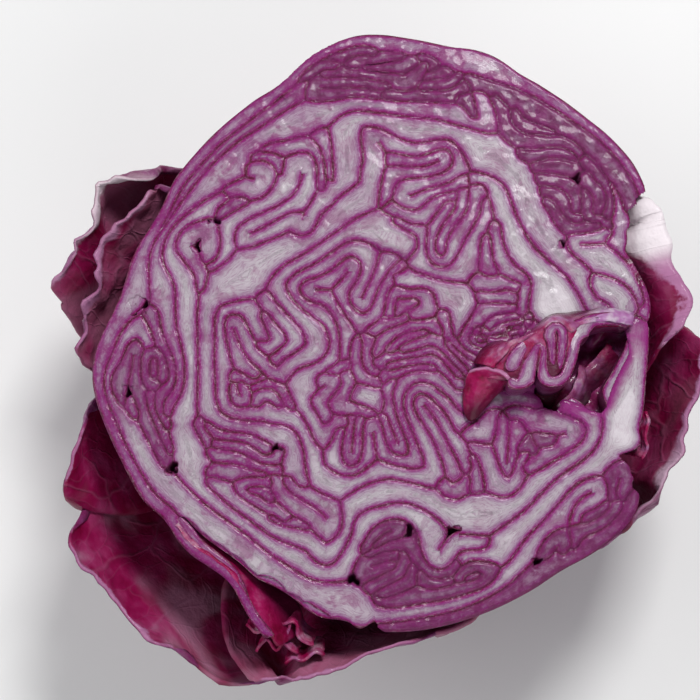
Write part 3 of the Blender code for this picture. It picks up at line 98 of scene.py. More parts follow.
# the long fleshy leaves that run round inside them
RING_LEAVES = {
    "leaf_ring_1": (0.48, [
        (-49.2, -19.5, 1), (-48.2, -17.5, 1.1), (-46.7, -14.5, 1.1), (-45.9, -11.5, 1.2),
        (-45.9, -8.5, 1.3), (-46.7, -5.3, 1.4), (-47.8, -2.3), (-48.9, 0.8), (-49.4, 4), (-49.8, 7, 1.6),
        (-50.3, 10, 1.8), (-51.2, 13, 2), (-52.2, 16.2, 1.8), (-52.2, 19.5, 1.6), (-51, 22.8), (-49.2, 26),
        (-47, 28.8, 1.8), (-44.6, 31.7, 2.2), (-42, 34.6, 2.6), (-39, 37.6, 3), (-36, 40.6, 3.2),
        (-33, 43.6, 3), (-30, 46.4, 2.8), (-27, 48.5, 2.4), (-24, 50.2, 2.4), (-20, 52, 2.6),
        (-16, 53.4, 2.9), (-12, 54.6, 2.4), (-8, 56.2, 1.8), (-4, 57.1, 1.7), (0, 56.7, 1.6), (5, 56),
        (10, 55.6), (15, 55.2, 1.9), (19, 54.3, 2.2), (22.5, 52.9, 2), (25.5, 51.4, 1.6), (28.2, 51.3, 1.8),
        (28.3, 53.6, 1.9), (27.5, 56.2, 1.9), (27, 58.3, 1.6)]),
    "leaf_ring_2": (0.8, [
        (-36.2, 33, 1.2), (-38.5, 31.8), (-41, 30.6), (-43.5, 29), (-46, 27.3), (-48, 24.8), (-49.2, 22),
        (-49.3, 19.5), (-48.3, 17.2, 1.8), (-46.5, 14.7, 1.8), (-45, 12, 1.9), (-44.4, 8, 2), (-44.6, 4, 2),
        (-44.4, 0, 2), (-44, -5), (-43.6, -10), (-44, -15), (-45.2, -19.5, 2.2), (-45.3, -23.5, 2.6),
        (-44.3, -27.2, 3.4), (-43, -31, 3.4), (-42, -34.6, 2.6), (-40.2, -38, 1.9), (-37.6, -40.8, 1.7),
        (-34.6, -43.2), (-31.5, -45.4), (-28.5, -47.7), (-25.5, -50.2), (-22.5, -52, 2), (-19.5, -53.6, 2),
        (-16.8, -55.5, 2), (-14, -57.5, 2), (-10.8, -57.9, 1.7), (-8, -56.8), (-6.2, -54.6), (-4.8, -52),
        (-3.6, -49.6), (-2.6, -46.9), (-0.6, -45), (2.5, -43.8), (5.5, -43), (8.5, -43), (11.5, -43.9),
        (14.2, -45.4), (15.9, -47.3), (15, -49.3), (13.6, -51), (13.4, -53.4), (14.8, -55.4), (16.9, -55.2),
        (18.1, -53), (19.3, -50.9), (21.5, -50.2), (24, -50.6), (26.3, -50.9, 1)]),
    "leaf_ring_3": (0.8, [
        (-38.3, -36.2), (-36, -37.8), (-34, -39.4), (-32, -41.2), (-29.5, -43), (-27, -44.9),
        (-24.5, -46.3), (-22, -47.6, 2), (-19, -48.7, 2), (-16, -49.2, 2), (-13.8, -50.6), (-12.6, -52.7),
        (-10.8, -54.2), (-9.3, -52.7), (-8, -51), (-6.5, -48), (-6.2, -45), (-5, -41.8, 2),
        (-2, -39.7, 2.5), (2, -38.9, 2.5), (6, -38.5, 2.3), (10, -39.2, 2.3), (14, -41.3, 2.5),
        (17, -43.3, 2.8), (20, -44.8, 3.3), (24, -44.6, 3.7), (28, -43.8, 3.4), (31.8, -42.6, 2.6),
        (35, -40.4, 2.2), (38, -37.4, 1.9), (41.4, -34.8, 1.7), (45, -32.4, 1.6), (48.3, -30.2, 1.6),
        (51.5, -27.4, 1.6), (53, -24), (52.3, -21.2), (49.5, -19.3), (46, -17.6, 1.2)]),
    "leaf_ring_4": (0.75, [
        (-26.7, -0.5), (-28, 2.5), (-29.5, 5), (-32, 6), (-35, 5.3), (-36.3, 3.3), (-36.2, 0), (-35.9, -3),
        (-35.8, -8), (-35.5, -12), (-35.2, -15.5), (-34.5, -18.3), (-32.5, -19.5), (-29.5, -20),
        (-26, -19.6), (-22.5, -20.2, 1.8), (-19.5, -20.8, 1.8), (-17.6, -22, 1.7), (-16.4, -24),
        (-15.6, -26.5), (-14.8, -29.5), (-14.5, -32.5), (-13.3, -35, 2), (-10.5, -36.8, 2.6),
        (-7, -37, 2.6), (-3.5, -35.8, 2), (0, -34, 1.8), (4, -33.4), (8, -34.4), (11, -35.1), (13.8, -35.4),
        (15.2, -33.8), (14.5, -31), (13, -28, 1.8), (11.5, -25, 1.8), (10, -22.3), (8.9, -19.5), (8.7, -17),
        (9.4, -15), (11.2, -14), (13.3, -14.4), (15.3, -15.8), (17.5, -17.7), (19.5, -20), (20.7, -22.5)]),
    "leaf_ring_5": (0.65, [
        (-17, -36, 2), (-18.2, -33, 2.5), (-18.7, -29.5, 2.6), (-19.5, -26.5, 2.3), (-22, -24.8, 2),
        (-24.5, -24.3), (-27, -23.6), (-30, -23.1), (-33, -22.6), (-36, -21.8), (-38, -20.2),
        (-39.2, -17.5), (-39.6, -14), (-39.6, -10), (-39.7, -5), (-39.7, 0, 1.8), (-39.5, 5, 2),
        (-38, 9, 3), (-34, 12.3, 5), (-30, 15, 4.8), (-26, 17.5, 4), (-22, 19.8, 3), (-19, 21, 2.6),
        (-16, 22.2, 2), (-13.5, 23.5, 1.7), (-11.5, 25.5, 2), (-9, 28, 3), (-5.5, 31.3, 3.5), (-2, 33.2, 3),
        (0, 36.5, 2.2), (0.1, 40, 2.2), (0.7, 43.5, 2), (0, 46.5, 2), (-0.7, 49, 1.6), (1.2, 49.2, 1.6),
        (3.2, 48, 1.8), (5, 46.9, 1.8), (7.5, 45.8, 1.8), (10, 45.2, 1.8), (12.5, 45.5, 1.8), (15, 46.3),
        (17.5, 46.8), (19.8, 46), (21, 44.2), (21.3, 42), (20.3, 39.8), (18, 38.2), (15, 37.1, 1.8),
        (12, 36.5, 1.8), (9.3, 35.8, 1.8), (7.3, 34.8), (7, 33), (8.6, 31.9), (10.5, 32.3), (12.5, 33.6),
        (15, 34.8), (17.5, 35.4), (20, 36), (21.6, 36.9)]),
    "leaf_ring_6": (0.7, [
        (-38, 16.6), (-36.4, 17.9), (-35.3, 20.3), (-34.9, 23), (-34.5, 25.6), (-33.2, 27.5), (-31, 29.1),
        (-28.5, 30.4), (-26, 31.6), (-23.8, 33.2, 2), (-22, 35.6, 2.4), (-20.6, 38.3, 2.4), (-19.2, 41, 2),
        (-17.4, 42.8), (-15.4, 42.2), (-14.7, 40), (-14.8, 37.5), (-15.4, 35), (-16.6, 33), (-18.4, 31.5),
        (-20.8, 30.3), (-23.5, 29), (-26.5, 27.5), (-29.3, 26), (-31.4, 24.4), (-31.6, 22.7), (-29.5, 22.6),
        (-27, 23.7), (-24, 25.2), (-21.5, 26.8), (-19.7, 28.2), (-18, 27.3), (-17.3, 25.3), (-16, 25),
        (-15, 27), (-13.5, 30), (-11, 33, 2.4), (-8.5, 35.8, 2.6), (-6.8, 38.5, 3), (-6.2, 42, 3.3),
        (-6.2, 46, 3.4), (-6.2, 49.5, 3.2), (-4.8, 52.6, 1.8), (-1.5, 53.2), (2, 52.5, 1.8),
        (5.5, 51.5, 2.2), (9, 50.4, 2.8), (12.5, 50, 3), (16, 50.2, 2.6), (19.5, 49.6, 2.2),
        (22.5, 48.2, 3), (25.5, 46.3, 4), (28.7, 44, 4.3), (32, 41.5, 4), (35, 38.5, 3.6), (37, 35, 3.5),
        (38.6, 31, 3.4), (40.2, 27.5, 3.4), (42.2, 23.7, 3.2), (44.5, 20.4, 3), (47, 17.5, 2.6),
        (49.2, 14.6, 2.6), (50.3, 11.8, 2.2), (51.6, 9.2, 1.6), (53.3, 7.2, 1.2), (56, 6.3, 1)]),
    "leaf_ring_7": (0.65, [
        (9.8, 21.5), (8, 23.4, 2.4), (4, 25.2, 3), (0, 26.2, 2.8), (-4, 25.7, 2), (-7, 24), (-10, 21.6),
        (-13, 19.4), (-16, 17.4), (-19, 15.7), (-21.5, 14), (-22.7, 12), (-22.2, 10), (-20.5, 7.8),
        (-18.5, 5.7), (-16.5, 3.5), (-14.8, 1.2), (-13.2, -1, 2.3), (-12.4, -3.5, 2.3), (-14, -5.3, 2),
        (-17, -6.7, 2), (-20, -8.5, 2), (-22.2, -10.8), (-24.5, -9.3), (-27, -7), (-29, -4.7),
        (-30.7, -1.5), (-32.3, 1.2), (-33.7, 3), (-34.4, 1.5), (-33.9, -1.5), (-32.3, -5.3), (-30.5, -8),
        (-28, -10.5)]),
}
# the leaves round the growing point
HEART_LEAVES = {
    "leaf_heart_1": (0.7, [
        (3.5, 16.2), (2, 14.3), (0.8, 12.2), (-0.3, 9.7), (-1.4, 7.2), (-2.7, 6), (-4, 7.3), (-3.6, 9.5),
        (-2.2, 12), (-1.1, 14.5), (-1, 17.3), (-2.2, 19.1), (-4.2, 20.1), (-6.3, 19.7), (-8.7, 18.2),
        (-11, 16.5), (-13.5, 15.1), (-16, 14), (-18, 12.7), (-18.8, 11), (-18.2, 9), (-16.7, 7),
        (-14.5, 5.8), (-12, 4.8), (-10.3, 3.2), (-9.3, 1), (-8.9, -1.5), (-9.1, -4), (-9.9, -6.3),
        (-11.7, -8.1), (-14, -9.4), (-16.3, -11.7, 3.2), (-17.2, -14, 2.5), (-17.2, -16.8), (-15.8, -19.2),
        (-14.5, -21.2), (-13.5, -23.3), (-12.2, -25.2), (-10.6, -25.2), (-9.8, -22.9), (-8, -21.8),
        (-6.3, -21.9)]),
    "leaf_heart_2": (0.55, [
        (-6.7, -5.6, 0.9), (-6.8, -3, 1.1), (-6.9, 0), (-7.5, 2.5), (-8.8, 5), (-10.2, 7.3), (-12, 8.5),
        (-14.5, 9), (-16.2, 10), (-15.8, 11.3), (-13, 12), (-10, 13), (-8, 14.3), (-6.7, 15.8),
        (-5.3, 17.2), (-4.3, 16.3), (-4.5, 14.5), (-5.5, 12.7), (-7, 10.8), (-7.3, 9.2), (-6.3, 6.8),
        (-4.7, 4.7), (-3, 3.2), (-1.3, 2.9), (0.3, 4.2), (1.7, 6.5), (2.3, 8.7), (3.2, 11), (4.5, 13),
        (5.3, 14.5)]),
    "leaf_heart_3": (0.5, [
        (4.7, 5), (4.7, 7.5), (5.2, 9.6), (6.5, 9.8), (8.5, 9.3), (11, 9.6), (13, 9.2), (13.4, 7),
        (12.8, 5.2), (10.8, 4.7)]),
    "leaf_heart_4": (0.7, [
        (5.5, 13.8), (7, 12.6), (10, 11.8), (13, 12), (16, 11, 1.8), (18.5, 9.2, 3), (20.8, 7.2, 3.4),
        (21.4, 4.4, 2.4), (21, 1.8, 1.4), (20.6, -0.4, 0.9)]),
    "leaf_heart_5": (0.6, [
        (21.5, -17.5), (19, -14.4), (16.5, -12.2), (14, -10.8), (11, -10.7), (8.5, -11.8), (7, -13.8),
        (6.3, -16.5), (6.5, -19), (7.5, -22), (8.7, -25), (9.8, -28), (10.2, -30.8), (8, -31.3), (5, -30.6),
        (3, -28.7), (2, -26), (1.3, -23.5), (0.2, -22.2), (-1, -23.3), (-1, -26), (-1.1, -29), (-2, -31.7),
        (-4.5, -33.8), (-6.8, -33.2), (-8.3, -31), (-8.4, -28), (-8, -25.5), (-7.5, -24.5)]),
    "leaf_heart_6": (0.6, [
        (19.5, -34.3), (18.8, -32), (17.5, -29), (16.3, -26), (14.7, -23), (12.7, -20), (11, -17.5),
        (11.6, -16), (13.5, -17.2), (15.8, -20.2), (17.7, -23.5), (19.5, -26.8), (21.3, -29.5),
        (22.5, -32)]),
    "leaf_heart_7": (0.5, [
        (3, -21, 0.9), (3.8, -24.4), (4.9, -27.4), (6.3, -28.7), (7.5, -28), (7, -26), (5.8, -23),
        (4.8, -20.2), (4.2, -17.6), (3.8, -14.8, 0.9), (4.8, -12.6, 0.9)]),
    "leaf_heart_8": (0.55, [
        (-3.3, -21.8), (-3.4, -25), (-3.7, -28.5), (-4.5, -31), (-5.7, -30.6), (-6, -28), (-5.7, -25.5),
        (-5.2, -23), (-5, -21.3)]),
    "leaf_heart_9": (0.4, [
        (1.4, -7.8, 0.9), (4.2, -6.3, 1), (7.6, -5.6, 1), (11, -5.2, 1), (14.2, -4.4, 0.9),
        (16.2, -5.5, 0.9), (18.2, -7.7, 0.9), (20.4, -10, 0.9)]),
    "leaf_heart_10": (0.4, [
        (4.6, -8.3, 0.9), (8.6, -7.5, 1), (12.2, -6.8, 1), (14.8, -6.8, 1.1), (16.8, -8.4, 1.1),
        (18.6, -10.7, 1.1), (20.3, -13.2, 1)]),
    "leaf_heart_11": (0.45, [
        (1, -4.8, 0.9), (2.8, -2.4, 1.1), (5.2, -0.4, 1.1), (8, 1, 1.1), (11, 1.5, 1), (14, 1.5, 1),
        (16, 0.4, 0.9)]),
    "leaf_heart_12": (0.65, [
        (-25.4, 7.7, 1), (-23.8, 5.2, 1.2), (-21.6, 2.7, 1.2), (-19.6, 0.4, 1.3), (-18, -1.8, 1.3),
        (-19.2, -3.8, 1.3), (-21.4, -5.2, 1.3), (-23.1, -6.9, 1.1)]),
}
# leaves between rim and ring at the back and on the right, with the widest rib of all
TOP_LEAVES = {
    "leaf_top_1": (0.15, [
        (1.5, 59.2, 1), (-2, 59.9, 1.2), (-6, 59.7, 1.2), (-10, 59.2, 1.3), (-13.5, 59.7, 1.3),
        (-15, 61.2, 1.2), (-13, 62.4, 1.2), (-10, 62.4, 1.2), (-6.5, 62.4, 1.1), (-3, 62.3, 1.1),
        (0.5, 61.7, 1.1), (3.6, 61.7, 1)]),
    "leaf_top_2": (0.15, [
        (-11, 64.4, 0.9), (-8.5, 65, 1), (-6, 64.9, 1), (-3, 64.8, 1), (0, 64.6, 1), (2.5, 63.9, 1),
        (4.7, 63, 1.2), (6.8, 61.9, 1.3), (8.8, 61.6, 1.3), (10.4, 62.9, 1.2), (11.8, 64.6, 1.1),
        (13, 66.4, 1)]),
    "leaf_top_3": (0.15, [
        (3.8, 59.2, 1), (7.5, 59.1, 1.1), (11.5, 59.2, 1.1), (15.3, 58.8, 1.2), (18.8, 58.9, 1.3),
        (21.4, 60.4, 1.4), (23.2, 62.3, 1)]),
    "leaf_top_4": (0.2, [
        (30.6, 58.6, 1.1), (31.8, 56.4, 1.2), (32.6, 54, 1.3), (33.4, 51.5, 1.4), (35, 49),
        (37.5, 47.7, 1.4), (40.3, 47.4, 1.4), (43.2, 47.6, 1.3), (46, 47.5, 1.3), (48.7, 46.5, 1.3),
        (50.3, 44.7, 1.1)]),
    "leaf_top_5": (0.55, [
        (3.2, 32.7, 1), (3.6, 35), (4.2, 37.3), (5.5, 39.4), (8, 39.8), (11, 39.7), (14, 39.9),
        (16.6, 40.8), (18.3, 42.3), (18.2, 44.1), (16.2, 44), (14, 43), (11.5, 42.3), (8.5, 42.5),
        (5.4, 43)]),
    "leaf_top_6": (0.55, [
        (4.8, 30.8, 1.2), (7.5, 29.2), (10.3, 28.1), (12.5, 28.3), (14, 30), (15.6, 31.8), (17.5, 33.2),
        (19.6, 33.8)]),
    "leaf_top_7": (0.5, [
        (19, 31.2), (17.8, 29.2), (16.4, 27), (15, 24.5), (14.2, 22), (14.4, 19.6), (15.5, 17.8),
        (17.2, 17.2), (18.6, 18.6), (19.3, 21), (20.5, 23.5), (22.2, 26), (24, 28.3), (25.4, 30.5),
        (25.6, 33.5), (26, 35.7)]),
    "leaf_top_8": (0.6, [
        (6, 26.8), (9.5, 25.2), (12, 24.6), (12.2, 22), (12.2, 19.5), (12.8, 17), (14.5, 15.2),
        (17, 14.4, 1.6), (20, 14.7, 2.1), (22.6, 16.6, 2.5), (24, 19.2, 2), (24.8, 21.8, 1.7), (25.8, 24.3),
        (26.8, 26.8), (27.5, 29), (27.3, 31.5, 1.2)]),
    "leaf_top_9": (1.3, [
        (25.6, 37.4, 1.2), (28.4, 37.3, 1.4), (30.6, 35.6, 1.8), (31.3, 32.5, 2), (32.2, 29.3, 2),
        (33.3, 25.8, 2.2), (34.8, 22, 2.4), (36.8, 18.8, 2.6), (39.5, 15.5, 3.2), (42, 11.5, 4.8),
        (44, 7.5, 6.2), (45, 4, 5)]),
    "leaf_top_10": (0.5, [
        (30.2, 25.5), (30, 22.5), (30.5, 20), (31, 18), (32.5, 16), (34.5, 14.2), (37, 13.5), (38.3, 12),
        (37.2, 9.5), (36.3, 7), (36, 5)]),
    "leaf_top_11": (0.45, [
        (-26.3, 45.6, 0.9), (-24, 45.9, 1), (-21.4, 45.3, 1), (-18.6, 45.8, 1), (-15.8, 46.2, 1.1),
        (-13.9, 44.9, 1), (-12.9, 42.6, 0.9), (-12.5, 40, 0.9), (-12.5, 37.6, 0.9), (-11.8, 35.6, 0.8)]),
}
# leaves folded into the pocket on the left
LEFT_LEAVES = {
    "leaf_left_1": (0.25, [
        (-59.6, -16.4, 1), (-61, -13.5, 1.3), (-60.6, -11, 1.6), (-59.2, -8.6, 1.3), (-58.4, -6, 1),
        (-57.6, -3.8, 1), (-56.5, -4.2, 0.8), (-56.4, -7, 0.8), (-56.4, -10, 0.9), (-56.1, -13, 1.1),
        (-55.3, -16, 1.1), (-54.5, -18.8, 1.1), (-53.5, -21.6, 1.1), (-52.3, -24.5, 1.2),
        (-50.9, -27.6, 1.2), (-49.2, -30.8, 1.3)]),
    "leaf_left_2": (0.3, [
        (-52.6, 4, 1), (-52.1, 1.2, 1.1), (-51.2, -1.4, 1.1), (-50, -3.9, 1.1), (-48.7, -6.4, 1),
        (-47.8, -9.2, 0.9), (-47.8, -12, 0.9), (-49, -14.2, 1), (-50.7, -15.9, 1), (-51, -18, 1),
        (-50, -20.6, 1), (-48.9, -22.6, 0.9)]),
    "leaf_left_3": (0.5, [
        (-41, 11, 0.9), (-41, 13.4, 1), (-41.9, 15.8, 1.1), (-43.6, 18, 1.1), (-45.2, 20, 1.1),
        (-46.3, 22, 1), (-45.3, 24.1, 1), (-42.9, 25, 1.3), (-40.4, 24.8, 1.8), (-39, 22.6, 2),
        (-38.9, 20, 2), (-38.9, 18.4, 1.6)]),
}
# leaves round the torn one
RIGHT_LEAVES = {
    "leaf_right_1": (0.95, [
        (57.6, 24.4, 1.3), (54.8, 23.6, 1.3), (51.8, 22.9, 1.2), (49, 22.4, 1.2), (48.4, 20.5, 1.3),
        (51, 19.5, 1.9), (54.5, 18.4, 2.6), (58, 17.4, 3.2), (60.8, 15.8, 3), (62.8, 13.4, 2.3),
        (64.2, 10.6, 1.6), (65.2, 7.6, 1.1)]),
    "leaf_right_2": (0.45, [
        (28, -5.8, 0.9), (25.6, -4.9, 1), (23.2, -3.7, 1.1), (21.9, -1.7, 1.1), (23, 0.5, 1.2),
        (24.6, 2.6, 1.4), (26.6, 4.3, 1.4), (29.2, 5.3, 1.2), (32, 5.6, 1.1), (34.4, 5.8, 1)]),
    "leaf_right_3": (0.4, [
        (34.2, -19.6, 1.2), (38, -20.8, 1.7), (42, -21.9, 1.9), (46, -22.3, 1.6), (48.9, -23.2, 1.3),
        (49.2, -25.1, 1.2), (46.8, -26.6), (44.2, -28.4), (41.4, -29.8, 1.7), (38.8, -31.6, 1.4),
        (36.4, -32.6, 1)]),
}
# leaves in the pockets at the front
BOTTOM_LEAVES = {
    "leaf_bottom_1": (0.2, [
        (20.6, -58.6, 1.1), (22.4, -57, 1.2), (24.8, -56.3, 1.2), (27.6, -56.8, 1.1), (26.6, -59.2, 1),
        (24, -60.4, 1), (20.8, -61.2, 1), (17, -62, 1.1), (13, -62.6, 1.1), (9, -63.2, 1.1),
        (5.4, -64.2, 1.1), (1.6, -64.6, 1)]),
    "leaf_bottom_2": (0.2, [
        (-0.6, -53.6, 0.8), (1.6, -52.2, 0.9), (4.2, -51.1, 1), (7, -50.8, 1.2), (9.2, -52.2, 1.3),
        (10.9, -54.4, 1.2), (12.8, -56.6, 1.1), (15.4, -57.8, 1.1), (18, -57.2, 1.1), (19.8, -55.6, 0.8)]),
    "leaf_bottom_3": (0.55, [
        (-23.1, -35.9, 1.1), (-21.9, -38.6, 1.2), (-19.6, -40.7, 1.4), (-17, -42.3), (-14.7, -44.2, 1.6),
        (-12.7, -46.4, 1.7), (-10.4, -48, 1.7), (-8.5, -46.9, 1.6), (-8.3, -44.3, 1.7), (-9.9, -42.1, 1.7),
        (-12.4, -40.4, 1.6), (-15.2, -39.1, 1.6), (-17.8, -37.6, 1.4), (-19.3, -35.6, 1.1)]),
    "leaf_bottom_4": (0.4, [
        (-24.4, -36.2, 0.8), (-26.8, -36.1, 1.1), (-29.6, -36.4, 1.2), (-31.3, -37.9, 1), (-29.8, -39.4, 1),
        (-27.4, -40.7, 1), (-25, -41.9, 1), (-22.8, -43.2, 1.1), (-20.8, -45, 1)]),
    "leaf_bottom_5": (0.35, [
        (-37.6, -26.9, 0.8), (-34.8, -27.3, 1), (-31.6, -27.7, 1), (-29, -29, 1), (-26.4, -30.6, 1),
        (-23.2, -31, 1), (-21.3, -29, 0.9)]),
    "leaf_bottom_6": (0.6, [
        (24.6, -28, 1.2), (26.4, -29.4, 1.7), (27.9, -32, 1.9), (29.2, -34.8, 1.9), (30.6, -37.4, 1.7),
        (32.6, -38.6, 1.1), (33.9, -37, 1.3), (34.5, -34.6), (35.3, -32, 1.3), (36, -30, 1)]),
    "leaf_bottom_7": (0.4, [
        (30.8, -22, 1.1), (30.9, -25, 1.2), (31, -28.5, 1.2), (31.2, -31.8, 1.1), (32.2, -33.6, 1.1),
        (33, -31.2, 1.1), (33.6, -27.8, 1.1), (34.2, -24.8, 1), (34.4, -22.4, 0.9)]),
}
# small folded ends of leaves, by the same places
TOP_CRINKLES = {
    "crinkle_top_1": (0.15, [
        (-16.9, 63.4, 0.9), (-15.6, 65.1, 1), (-13.8, 66.5, 1), (-11.6, 67.2, 1), (-9.6, 66.6, 1)]),
    "crinkle_top_2": (0.15, [(-9.6, 69, 0.8), (-7, 69.3, 1), (-4.6, 70.4, 1), (-2, 71, 1), (0, 70.4, 1)]),
    "crinkle_top_3": (0.15, [
        (-4.6, 67.4, 1.2), (-2, 68, 1.3), (0.8, 68.3, 1), (3.4, 69, 1), (6.8, 69.1, 1)]),
    "crinkle_top_4": (0.15, [
        (-0.6, 66.3, 0.9), (2.2, 66.3, 0.9), (5, 66.7, 1), (7.6, 67.3, 1), (10.4, 68, 1)]),
    "crinkle_top_5": (0.15, [
        (13, 61.4, 1), (15, 62, 1), (17.5, 61.7, 1.1), (19.8, 62.3, 1.1), (21.5, 63.6, 1)]),
    "crinkle_top_6": (0.15, [(14, 64, 1), (16, 64.6, 1), (18.5, 65.1, 1)]),
    "crinkle_top_7": (0.15, [(12.4, 69.2, 1), (14.6, 68.8, 1), (15.8, 67.2, 1), (14.6, 66, 0.8)]),
    "crinkle_top_8": (0.15, [(22, 58.6, 1), (23.8, 57.6, 1.1), (24.6, 55.6, 1), (24.8, 53.8, 0.8)]),
    "crinkle_top_9": (0.15, [
        (35.4, 55, 1), (35.6, 52.5, 1.2), (38, 51, 1.2), (41, 50.6, 1), (44, 49.7, 1)]),
    "crinkle_top_10": (0.15, [
        (37, 44, 1), (39.5, 43.7, 1.1), (42.5, 44.3, 1.1), (46, 44.6, 1.1), (49, 43.8, 1)]),
    "crinkle_top_11": (0.15, [(40.6, 41.1, 1.1), (43, 41.5), (46, 41.2, 1.6), (49, 40.6)]),
    "crinkle_top_12": (0.15, [
        (41.2, 38, 1.1), (44, 37.6, 1.2), (46.8, 37, 1.2), (49, 35.2, 1.2), (50, 32.6, 1.2),
        (49.2, 30.2, 1)]),
    "crinkle_top_13": (0.15, [
        (42, 34.8, 1.1), (44.8, 34.2, 1.2), (46.8, 32, 1.2), (47.8, 29.6, 1.1), (49.8, 28, 1)]),
    "crinkle_top_14": (0.15, [
        (42.4, 32, 1), (44.2, 30.2, 1.1), (45.4, 27.6, 1.1), (48, 26, 1.1), (51.2, 25.6, 1),
        (54.5, 26.2, 1)]),
    "crinkle_top_15": (0.15, [
        (52.4, 42.4, 1), (54.2, 41.2, 1), (55.8, 39, 1.1), (57.4, 36.8, 1.1), (58.6, 34, 1.2),
        (58.4, 31.2, 1.2), (57.2, 29, 1)]),
    "crinkle_top_16": (0.15, [
        (52.2, 37.8, 1), (53.6, 35.8, 1.2), (55.8, 34.6, 1), (55.8, 32, 1.1), (54.8, 29.6, 1)]),
    "crinkle_top_17": (0.15, [
        (51.9, 34, 1), (52.2, 31.2, 1.1), (53, 28.8, 1.1), (56, 27.6, 1), (58, 26, 0.9)]),
    "crinkle_top_18": (0.5, [
        (-34.4, 34.9, 1.2), (-31.5, 34.9), (-28.5, 34.7, 1.6), (-26, 35.5, 1.6), (-24.6, 37.6, 1.6),
        (-25.2, 39.7, 1.6), (-27.3, 40.9), (-29, 41.1, 0.9)]),
    "crinkle_top_19": (0.4, [
        (-29, 43.6, 0.9), (-26.6, 43.9, 1), (-24.4, 43, 1.1), (-22.6, 41.4, 1.1), (-22, 39.2, 0.9)]),
    "crinkle_top_20": (0.3, [(-36, 30.3, 1), (-34, 31.3, 1.3), (-31.5, 32.4, 1)]),
    "crinkle_top_21": (0.45, [
        (-12.3, 48.6, 1.2), (-11.2, 46.8, 1.2), (-10.8, 44.2, 0.9), (-10.3, 41.5, 0.8), (-10, 39.3, 0.9),
        (-9.4, 37.5, 0.9)]),
    "crinkle_top_22": (0.45, [
        (21.8, 34.8, 1.2), (21.8, 32.3, 1.2), (21, 29.8), (19.2, 27.2), (17.5, 24.8), (16.7, 22.3),
        (16.8, 20.3)]),
    "crinkle_top_23": (0.4, [(27.7, 22.5), (27.8, 20), (27.8, 17.5), (28.5, 15.5)]),
    "crinkle_top_24": (1, [(53.8, 12, 1.2), (56, 10.4, 2.4), (59, 9, 3), (61.6, 7.2, 2.2)]),
}
